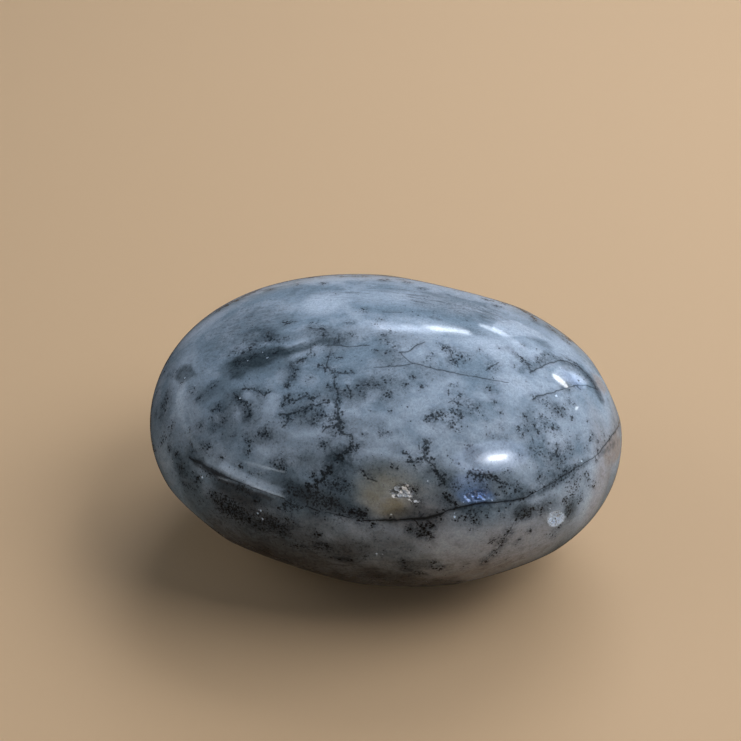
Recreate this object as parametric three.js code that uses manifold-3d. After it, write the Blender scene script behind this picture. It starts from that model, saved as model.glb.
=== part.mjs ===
// A hand-polished dendritic opal palm stone, resting on a small natural flat.
// One solid piece of opal: a full, slightly uneven ellipsoid with faint lapped
// flats and a few open pits where drusy pockets reach the polished skin.
//
// Millimetres, +Z up, the long axis along X. The origin lies on the resting flat.

import * as THREE from "three";
import { mergeVertices } from "three/addons/utils/BufferGeometryUtils.js";
import Module from "manifold-3d";

// Driving dimensions.
const HALF_LENGTH = 31.0;
const HALF_WIDTH = 23.1;
const HALF_HEIGHT = 18.0;
const REST_CUT = 0.35; // how much the resting flat takes off the underside
const SKIN_DETAIL = 17; // subdivisions of each icosahedron face on the skin

// How the stone departs from a plain ellipsoid.
const FULLNESS = 2.07; // superellipsoid exponent: a little fuller than 2
const WIDTH_TAPER = -0.07; // the +X end is narrower seen from above
const HEIGHT_TAPER = 0.05; // and a touch deeper seen from the side
const END_FLARE = 0.07; // both ends stay broad
const SIDE_BOW = -0.3; // the middle bows towards -Y
const SAG = -0.4; // and sags a little

// Faint flats from lapping by hand: the way each one faces, in degrees round from
// +X and up from the horizon, and how far in from the curve its plane lies.
const FLATS = [
  { name: "lower right", round: 310, up: -48, inset: 1.0 },
  { name: "lower left", round: 253, up: -48, inset: 1.45 },
  { name: "left heel", round: 230, up: -38, inset: 1.15 },
  { name: "nose", round: 27, up: 19, inset: 1.0 },
  { name: "upper back", round: 79, up: 50, inset: 1.0 },
  { name: "lower back", round: 124, up: -20, inset: 0.8 },
];
const FLAT_EASE = 1.0; // how softly a flat blends into the curve

// Open pits: where each one lies, in degrees round and up, its size along and
// across the stone's girth, and its depth.
const PITS = [
  { name: "cream pocket", round: 283, up: 25, along: 2.8, across: 1.9, deep: 0.5 },
  { name: "white pocket", round: 320.5, up: 4, along: 1.7, across: 1.9, deep: 0.45 },
  { name: "blue pocket", round: 301, up: 21.5, along: 3.0, across: 1.3, deep: 0.35 },
  { name: "back pocket", round: 74, up: 12, along: 2.4, across: 1.6, deep: 0.45 },
  { name: "heel pocket", round: 186, up: -22, along: 1.5, across: 1.3, deep: 0.35 },
];
const PIT_DETAIL = 4;
const PIT_LUMP = 0.16; // share by which a pit's wall wanders

const degrees = THREE.MathUtils.degToRad;

function facing({ round, up }) {
  return new THREE.Vector3(
    Math.cos(degrees(up)) * Math.cos(degrees(round)),
    Math.cos(degrees(up)) * Math.sin(degrees(round)),
    Math.sin(degrees(up)),
  );
}

// The point of the uneven ellipsoid that a direction from its middle stretches to.
function bodyPoint(direction) {
  const ring = Math.hypot(direction.y, direction.z);
  const norm = (Math.abs(direction.x) ** FULLNESS + ring ** FULLNESS) ** (1 / FULLNESS);
  const x = direction.x / norm;
  const y = direction.y / norm;
  const z = direction.z / norm;
  const bow = 1 - x * x;
  return new THREE.Vector3(
    HALF_LENGTH * x,
    HALF_WIDTH * y * (1 + WIDTH_TAPER * x + END_FLARE * x * x) + SIDE_BOW * bow,
    HALF_HEIGHT * z * (1 + HEIGHT_TAPER * x) + SAG * bow,
  );
}

function closed(geometry) {
  geometry.deleteAttribute("normal");
  geometry.deleteAttribute("uv");
  return mergeVertices(geometry, 1e-4);
}

function unitBall(detail) {
  return closed(new THREE.IcosahedronGeometry(1, detail));
}

function directionsOf(ball) {
  const position = ball.attributes.position;
  return Array.from({ length: position.count }, (_, i) =>
    new THREE.Vector3().fromBufferAttribute(position, i).normalize(),
  );
}

function moveVertices(ball, move) {
  directionsOf(ball).forEach((direction, i) => {
    ball.attributes.position.setXYZ(i, ...move(direction).toArray());
  });
  return ball;
}

// Each flat as a plane, set in from the furthest that the body reaches its way.
function flatPlanes(directions) {
  return FLATS.map((flat) => {
    const normal = facing(flat);
    const reach = Math.max(...directions.map((d) => bodyPoint(d).dot(normal)));
    return { normal, offset: reach - flat.inset };
  });
}

// The skin's point: what stands past a flat's plane is drawn back to it, softly.
function skinPoint(direction, planes) {
  const point = bodyPoint(direction);
  for (const { normal, offset } of planes) {
    const over = point.dot(normal) - offset;
    if (over > 0) {
      point.addScaledVector(normal, (-over * over) / (over + FLAT_EASE));
    }
  }
  return point;
}

// A lumpy lens, set across the skin, that cuts one pit.
function pitLens(pit, planes) {
  const direction = facing(pit);
  const half = new THREE.Vector3(pit.along / 2, pit.across / 2, pit.deep);
  const lens = moveVertices(unitBall(PIT_DETAIL), (d) => {
    const lump = 1 + PIT_LUMP * Math.sin(5 * d.x + pit.round) * Math.cos(4 * d.y - pit.up);
    return d.multiply(half).multiplyScalar(lump);
  });
  const stretch = new THREE.Vector3(HALF_LENGTH, HALF_WIDTH, HALF_HEIGHT);
  const out = direction.clone().divide(stretch).normalize();
  const girth = new THREE.Vector3(0, 0, 1).cross(out).normalize();
  const rise = out.clone().cross(girth);
  const seat = skinPoint(direction, planes);
  lens.applyMatrix4(new THREE.Matrix4().makeBasis(girth, rise, out).setPosition(seat));
  return lens;
}

const wasm = await Module();
wasm.setup();

function solid(geometry) {
  return new wasm.Manifold(
    new wasm.Mesh({
      numProp: 3,
      vertProperties: new Float32Array(geometry.attributes.position.array),
      triVerts: new Uint32Array(geometry.index.array),
    }),
  );
}

function geometryOf(manifold) {
  const mesh = manifold.getMesh();
  return new THREE.BufferGeometry()
    .setAttribute("position", new THREE.BufferAttribute(mesh.vertProperties, 3))
    .setIndex(new THREE.BufferAttribute(mesh.triVerts, 1));
}

function stone() {
  const skin = unitBall(SKIN_DETAIL);
  const planes = flatPlanes(directionsOf(skin));
  moveVertices(skin, (direction) => skinPoint(direction, planes));
  skin.computeBoundingBox();
  const restHeight = skin.boundingBox.min.z + REST_CUT;

  const floor = new THREE.BoxGeometry(3 * HALF_LENGTH, 3 * HALF_WIDTH, HALF_HEIGHT);
  floor.translate(0, 0, restHeight - HALF_HEIGHT / 2);
  let made = solid(skin).subtract(solid(closed(floor)));
  for (const pit of PITS) {
    made = made.subtract(solid(pitLens(pit, planes)));
  }

  const geometry = geometryOf(made).translate(0, 0, -restHeight);
  geometry.computeVertexNormals();
  return geometry;
}

const milkyOpal = new THREE.MeshStandardMaterial({
  color: 0x93a1b0,
  roughness: 0.12,
  metalness: 0,
});

const part = new THREE.Group();
const opal = new THREE.Mesh(stone(), milkyOpal);
opal.name = "dendritic_opal";
part.add(opal);

export default part;
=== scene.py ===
"""A polished dendritic opal palm stone: milky blue-grey opal full of dark fern-like growths.

Sizes are in millimetres and become metres where a mesh, lamp or camera is made. Colours are sRGB
hex values. The stone has two ways to say a place on its skin: facing(round, up), as its solid's
flats and pits do, and spot(along, girth), which suits the growths that run along it.
"""

import math
import random
from functools import partial

import bmesh
import bpy
import numpy as np
from mathutils import Matrix, Vector, kdtree, noise


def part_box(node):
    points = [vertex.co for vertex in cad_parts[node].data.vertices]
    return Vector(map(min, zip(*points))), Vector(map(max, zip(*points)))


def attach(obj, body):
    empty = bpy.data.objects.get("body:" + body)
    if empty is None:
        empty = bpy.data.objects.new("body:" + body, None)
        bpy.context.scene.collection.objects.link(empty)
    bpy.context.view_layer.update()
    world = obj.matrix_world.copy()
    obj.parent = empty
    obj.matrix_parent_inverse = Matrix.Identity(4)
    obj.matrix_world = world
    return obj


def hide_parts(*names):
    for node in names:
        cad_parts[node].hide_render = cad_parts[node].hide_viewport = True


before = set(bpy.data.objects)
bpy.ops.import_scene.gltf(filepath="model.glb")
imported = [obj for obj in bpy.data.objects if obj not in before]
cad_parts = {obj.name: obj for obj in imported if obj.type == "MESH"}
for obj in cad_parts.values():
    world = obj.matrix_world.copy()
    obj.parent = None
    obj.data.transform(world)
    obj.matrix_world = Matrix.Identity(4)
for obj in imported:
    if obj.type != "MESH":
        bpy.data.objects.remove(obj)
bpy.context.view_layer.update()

MM = 0.001

# ---------------------------------------------------------------------------------------------
# The stone's form, as its solid has it
# ---------------------------------------------------------------------------------------------

HALF_LENGTH = 31.0
HALF_WIDTH = 23.1
HALF_HEIGHT = 18.0
FULLNESS = 2.07  # the exponent of its curve, a little fuller than an ellipsoid's 2
WIDTH_TAPER = -0.07
HEIGHT_TAPER = 0.05
END_FLARE = 0.07
SIDE_BOW = -0.3
SAG = -0.4
STRETCH = np.array([HALF_LENGTH, HALF_WIDTH, HALF_HEIGHT])

# Faint lapped flats: degrees round from +X, degrees up, and how far in each plane lies.
FLATS = [
    (310, -48, 1.0),
    (253, -48, 1.45),
    (230, -38, 1.15),
    (27, 19, 1.0),
    (79, 50, 1.0),
    (124, -20, 0.8),
]
FLAT_EASE = 1.0

# Open pits: degrees round and up, size along and across the girth, and depth.
PITS = {
    "cream": (283, 25, 2.8, 1.9, 0.5),
    "white": (320.5, 4, 1.7, 1.9, 0.45),
    "blue": (301, 21.5, 3.0, 1.3, 0.35),
    "back": (74, 12, 2.4, 1.6, 0.45),
    "heel": (186, -22, 1.5, 1.3, 0.35),
}
PIT_LUMP = 0.22  # share by which a pit's rim wanders
PIT_ROUGHNESS = 0.25  # and by which crystals make its floor uneven
PIT_LINING = 0.35  # how far the crystals' colour reaches past the rim, as a share of the pit

GRID_CUTS = 127  # cuts across each face of the cube that the skin is blown up from
GRID_PULL = 0.22 * np.array([0, -0.5, 0.85])  # draws the grid tighter over the top and front


def facing(round_degrees, up_degrees):
    """The direction, from the middle, at degrees round from +X and degrees up."""
    around, above = math.radians(round_degrees), math.radians(up_degrees)
    flat = math.cos(above)
    return np.array([flat * math.cos(around), flat * math.sin(around), math.sin(above)])


def spot(along, girth):
    """The direction at mm along the stone and degrees over its girth: 0 front, 90 top, 180 back."""
    x = along / HALF_LENGTH
    ring = math.sqrt(1 - x * x)
    return np.array([x, -ring * math.cos(math.radians(girth)), ring * math.sin(math.radians(girth))])


def body(directions):
    """Points of the uneven ellipsoid, one for each row of directions."""
    ring = np.hypot(directions[:, 1], directions[:, 2])
    norm = (np.abs(directions[:, 0]) ** FULLNESS + ring**FULLNESS) ** (1 / FULLNESS)
    x, y, z = (directions / norm[:, None]).T
    bow = 1 - x * x
    width = HALF_WIDTH * y * (1 + WIDTH_TAPER * x + END_FLARE * x * x) + SIDE_BOW * bow
    height = HALF_HEIGHT * z * (1 + HEIGHT_TAPER * x) + SAG * bow
    return np.stack([HALF_LENGTH * x, width, height], 1)


def lapped(points, planes):
    """Points drawn softly back to each flat that they stand past."""
    for normal, offset in planes:
        over = np.maximum(points @ normal - offset, 0)
        points = points - np.outer(over * over / (over + FLAT_EASE), normal)
    return points


def skin_places(directions, planes, lift):
    """Points of the polished skin in mm, standing on the resting flat."""
    points = lapped(body(directions), planes)
    points[:, 2] = np.maximum(points[:, 2] + lift, 0)
    return points


def outward_at(direction):
    """The unit vector out of the plain ellipsoid at a direction."""
    outward = direction / STRETCH
    return outward / np.linalg.norm(outward)


stone_mesh = bmesh.new()
bmesh.ops.create_cube(stone_mesh, size=2)
bmesh.ops.subdivide_edges(stone_mesh, edges=stone_mesh.edges, cuts=GRID_CUTS, use_grid_fill=True)
grid = np.array([v.co for v in stone_mesh.verts])
grid = np.tan(grid * math.pi / 4)  # evens out the grid once it is a ball
grid /= np.linalg.norm(grid, axis=1)[:, None]
grid += GRID_PULL
grid /= np.linalg.norm(grid, axis=1)[:, None]

planes = []
for around, above, inset in FLATS:
    normal = facing(around, above)
    planes.append((normal, (body(grid) @ normal).max() - inset))
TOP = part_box("dendritic_opal")[1].z / MM
LIFT = TOP - lapped(body(grid), planes)[:, 2].max()
places = skin_places(grid, planes, LIFT)


def on_skin(direction):
    """The skin's point, in mm, that a direction from the middle leads to."""
    return skin_places(np.array([direction]), planes, LIFT)[0]


# ---------------------------------------------------------------------------------------------
# Growths in the opal
# ---------------------------------------------------------------------------------------------

# Places are (along, girth), as spot() takes them, and sizes are mm.

# Healed cracks: how much dark growth clings to each, and its route in (along, girth, half width).
CRACKS = [
    # the long crack, which runs on round the right end and over the back
    (0.8, [(1.6, 12.9, 0.04), (2.4, 13.2, 0.07), (3.2, 13.4, 0.09), (4.3, 13.9, 0.13), (5.3, 14.1, 0.14),
        (6.6, 14.3, 0.12), (8.2, 15, 0.13), (9.2, 15.2, 0.16), (10, 16, 0.17), (10.9, 17, 0.15),
        (11.6, 18.3, 0.12), (12.5, 19.3, 0.14), (13.6, 20.3, 0.15), (15, 21, 0.15), (17.3, 21.3, 0.12),
        (19.6, 21.8, 0.09), (21, 23.8, 0.04), (22.3, 26.4, 0.03), (23.3, 28.6, 0.04), (24.2, 31.4, 0.05),
        (25, 33.5, 0.04), (25.7, 35.8, 0.03), (26.3, 37.5, 0.03), (27.3, 41, 0.04), (28, 44.4, 0.05),
        (28.5, 50.2, 0.08), (29, 57.5, 0.09), (29.5, 68.3, 0.08), (30, 84.6, 0.09), (30.2, 100, 0.1),
        (30, 125, 0.1), (28.5, 150, 0.12), (25, 163, 0.14), (19, 170, 0.1), (12, 172, 0.06)]),
    # the fine crack of the top with its forks, and the line to its left
    (0.2, [(3.2, 74.2, 0.05), (4, 72.2, 0.06), (4.8, 70.8, 0.06), (6, 70.3, 0.06), (7.5, 70, 0.05),
        (9.2, 69.6, 0.06), (10.6, 69.5, 0.06), (12.2, 69.6, 0.05), (14.2, 69.8, 0.05),
        (16.3, 70.5, 0.04)]),
    (0.1, [(0.7, 67.5, 0.04), (1.8, 68, 0.08), (3.5, 69, 0.06), (5, 70.6, 0.06)]),
    (0.2, [(3.2, 74.3, 0.07), (4.2, 75.4, 0.08), (4.8, 77.8, 0.07), (5.6, 79.7, 0.06)]),
    (0.2, [(-6, 74.6, 0.05), (-4.6, 74.9, 0.08), (-3, 74.7, 0.04), (-1.5, 75.6, 0.08),
        (-0.8, 75.8, 0.04)]),
    # the arch over the pale facet, and the line up from its foot
    (0.5, [(18.7, 78.7, 0.07), (19.5, 82.2, 0.06), (20.4, 86.6, 0.06), (21, 89.6, 0.07),
        (21.7, 92.8, 0.08), (22.4, 95.6, 0.07), (23.3, 97.5, 0.08), (24.3, 98.8, 0.08),
        (25.7, 98.5, 0.07), (26.7, 94.3, 0.05)]),
    (0.6, [(18.7, 78.6, 0.05), (18.1, 82.6, 0.05), (16.9, 85, 0.05)]),
    # under the pale reflex of the lower left, whose wide start is a painted dark edge of that reflection,
    # and on towards the long crack as a crack
    (0.1, [(-20.7, 23, 0.12), (-19.2, 22.6, 0.34), (-17.7, 21.6, 0.38), (-16.2, 21, 0.3),
        (-15, 20.6, 0.1), (-13.5, 20, 0.06), (-10.6, 18.9, 0.07), (-7.9, 17.9, 0.05)]),
    # broken pieces of it
    (1.2, [(-7.5, 16.9, 0.03), (-6.6, 15.8, 0.08), (-5.9, 15.8, 0.02)]),
    (1.2, [(-4.9, 16, 0.03), (-4.2, 15.6, 0.08), (-3.4, 15, 0.02)]),
    (1.2, [(-2.3, 14.8, 0.03), (-1.1, 14.4, 0.08), (0.2, 13.7, 0.03)]),
    # the pale facet's lower edge
    (0.5, [(19.6, 66.3, 0.08), (19.9, 67.9, 0.1), (20.8, 70.3, 0.08), (21.7, 72.9, 0.07),
        (22.6, 76.3, 0.05), (23.4, 80.1, 0.05), (24.7, 85.9, 0.06), (25.9, 91, 0.05),
        (26.7, 94.3, 0.05)]),
]

# Dark stems with twigs: half width, twig length, fullness of twigs, and route in (along, girth).
STEMS = [
    # the standing stem and its foot
    (0.08, 0.4, 1.4, [(-5.4, 72), (-5.3, 69.5), (-5.4, 66.5), (-4.8, 65.2), (-4.1, 64), (-3.9, 61.5),
        (-3.7, 59.5), (-3.2, 57), (-3.1, 54)]),
    (0.15, 0.35, 1.6, [(-3.1, 54), (-2.8, 52), (-2.7, 50.3), (-2.6, 48.5), (-2.2, 47), (-2.1, 45.4)]),
    (0.13, 0.3, 1.4, [(-2.4, 46), (-3, 45.8), (-3.8, 44.8), (-4, 44)]),
    (0.12, 0.25, 1.4, [(-2.1, 45.6), (-1.9, 43.8), (-1.3, 43.4), (-0.6, 43.4), (-0.4, 42.4)]),
    (0.12, 0.3, 2, [(-2.6, 48.4), (-3.2, 47.7), (-3.5, 47.4)]),
    (0.12, 0.3, 2, [(-2.3, 48), (-1.8, 47.4)]),
    (0.09, 0.25, 1, [(-2.3, 59.8), (-1.8, 58), (-1.5, 56)]),
    (0.08, 0.35, 1.8, [(-4.1, 64.2), (-3.2, 64.3), (-1.8, 64.6)]),
    (0.06, 0.4, 2, [(-7.9, 73.5), (-7.8, 72), (-8, 70.5)]),
    (0.06, 0.2, 1, [(-4.8, 78.5), (-4.6, 76.5), (-4.4, 75)]),
    (0.05, 0.2, 1, [(-5.2, 78), (-5.1, 76.6)]),
    # two comb-like arms
    (0.1, 0.4, 2.4, [(-9.6, 54.5), (-9.3, 53.7), (-8.4, 53.4), (-7.8, 53.8), (-7.3, 54.9), (-6.6, 55),
        (-6.1, 54.4), (-5.6, 55.3)]),
    (0.1, 0.4, 2.4, [(-9.7, 48.2), (-8.6, 48.3), (-7.8, 49.2), (-7.1, 49.8), (-6.6, 51), (-6, 52.1),
        (-5.3, 52.4), (-4.9, 53.2), (-4.1, 53.6)]),
    (0.08, 0.5, 2, [(-8.6, 48.3), (-8.6, 46), (-9, 44)]),
    # the frond that trails down beside the smoky wedge
    (0.08, 0.3, 2.4, [(-8.2, 69), (-9, 67.6)]),
    (0.06, 0.3, 2.4, [(-9.7, 66), (-9.4, 64.8)]),
    (0.06, 0.3, 2.4, [(-9.6, 60), (-9.9, 58.2)]),
    # round the pale patch on the left
    (0.1, 0.35, 2.4, [(-15, 57.6), (-14.6, 56.5), (-13.9, 56.6), (-13.4, 56)]),
    (0.1, 0.35, 2.6, [(-13, 55.9), (-12.5, 55), (-12.2, 54.6), (-11.6, 55.9)]),
    (0.09, 0.35, 2.2, [(-16.2, 54.4), (-15.6, 52.8), (-15.2, 51.6), (-14.5, 51.2), (-14, 49.4),
        (-13.6, 47.2), (-13.4, 46.2)]),
    # the long diagonal down to the cream patch's left
    (0.11, 0.5, 3.4, [(0.3, 40.2), (-0.2, 39.4), (-0.9, 38.2), (-1.4, 36.6), (-2, 34.4)]),
    (0.15, 0.5, 2.6, [(-2.4, 32), (-2.8, 30.2), (-3, 28.8), (-3.6, 26.2), (-4.3, 24.8), (-5, 23.4)]),
    (0.08, 0.3, 1.8, [(1.2, 31.6), (1.6, 30.9), (2.1, 29.5), (3, 28.6)]),
    # the tree to the right of the cream patch
    (0.05, 0.2, 1, [(7.5, 42.6), (7.6, 41)]),
    (0.12, 0.55, 2.4, [(8.4, 43), (8.2, 40.4), (8.3, 38.8), (8.7, 37), (9.3, 36), (9.8, 34.5), (10, 33),
        (10.6, 31), (11, 29)]),
    (0.1, 0.45, 2.8, [(5.8, 39.2), (6.5, 38.9), (6.8, 37.4), (7, 36.2), (7.7, 37.3), (8.4, 37.6)]),
    (0.08, 0.3, 2, [(7.9, 44), (8.4, 42.8), (8.8, 43.2)]),
    (0.13, 0.4, 2, [(11, 25), (11.5, 23.6), (12, 22.2), (12.8, 20.8)]),
    # above the blue pocket
    (0.13, 0.5, 2.4, [(13.7, 33.8), (14.4, 32.6), (15.4, 33), (16.2, 32.8), (16.6, 31), (17.4, 29.6)]),
    # the slanting stem at the lower right
    (0.035, 0.3, 1.6, [(19.2, 9), (18.9, 6), (18.4, 2), (17.9, -2.5), (17.3, -6.5), (16.4, -11),
        (15.8, -13)]),
    (0.08, 0.3, 2, [(17.3, 2.4), (16.7, 1)]),
    # small ones of the top, towards the right
    (0.07, 0.4, 2, [(23, 48), (23.1, 45), (23.2, 42)]),
    (0.08, 0.2, 1.5, [(20.1, 49.4), (20.3, 47.4)]),
    (0.05, 0.4, 2.2, [(8.9, 78), (9.3, 76), (9.8, 74), (10.3, 72.4)]),
    (0.08, 0.4, 3, [(14.8, 78), (14.4, 76.6), (14, 75), (13.7, 73.4)]),
    (0.08, 0.2, 1, [(9.8, 62.6), (9.9, 61.2)]),
    (0.08, 0.2, 1.6, [(10.2, 58.2), (10.6, 58.8), (11, 58.2), (11.6, 57.8)]),
    (0.1, 0.5, 2.8, [(7.8, 52.2), (8.3, 51.4), (8.9, 52.4), (9.5, 53.4)]),
    (0.1, 0.4, 2.6, [(10.4, 55.4), (11.1, 54.6), (11.6, 53.4)]),
    (0.08, 0.25, 1.8, [(18.7, 58.6), (19.1, 57.6), (19.3, 56.4)]),
    (0.06, 0.2, 1.5, [(20.6, 60.2), (20.8, 58.6)]),
    # hanging from the long crack
    (0.09, 0.5, 2.6, [(8, 14.4), (8.6, 12), (9.2, 10), (8.6, 7.4)]),
    (0.09, 0.5, 2.6, [(9.2, 10.4), (9.8, 8), (10.3, 6.6)]),
    (0.09, 0.5, 2.6, [(7.3, 10.1), (8, 9.8), (9.2, 10.1), (10.2, 13)]),
    # fine lines near the crown
    (0.06, 0.25, 1.6, [(-11.9, 84.6), (-11.3, 85.6), (-10.8, 85.4)]),
    (0.04, 0.3, 1.6, [(-9.4, 82.6), (-8.6, 82), (-7, 81.6)]),
    (0.06, 0.2, 1.2, [(-6.9, 80), (-6.8, 78.2)]),
    (0.05, 0.2, 1, [(-0.3, 92), (0.8, 92.4), (2, 93)]),
]

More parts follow.
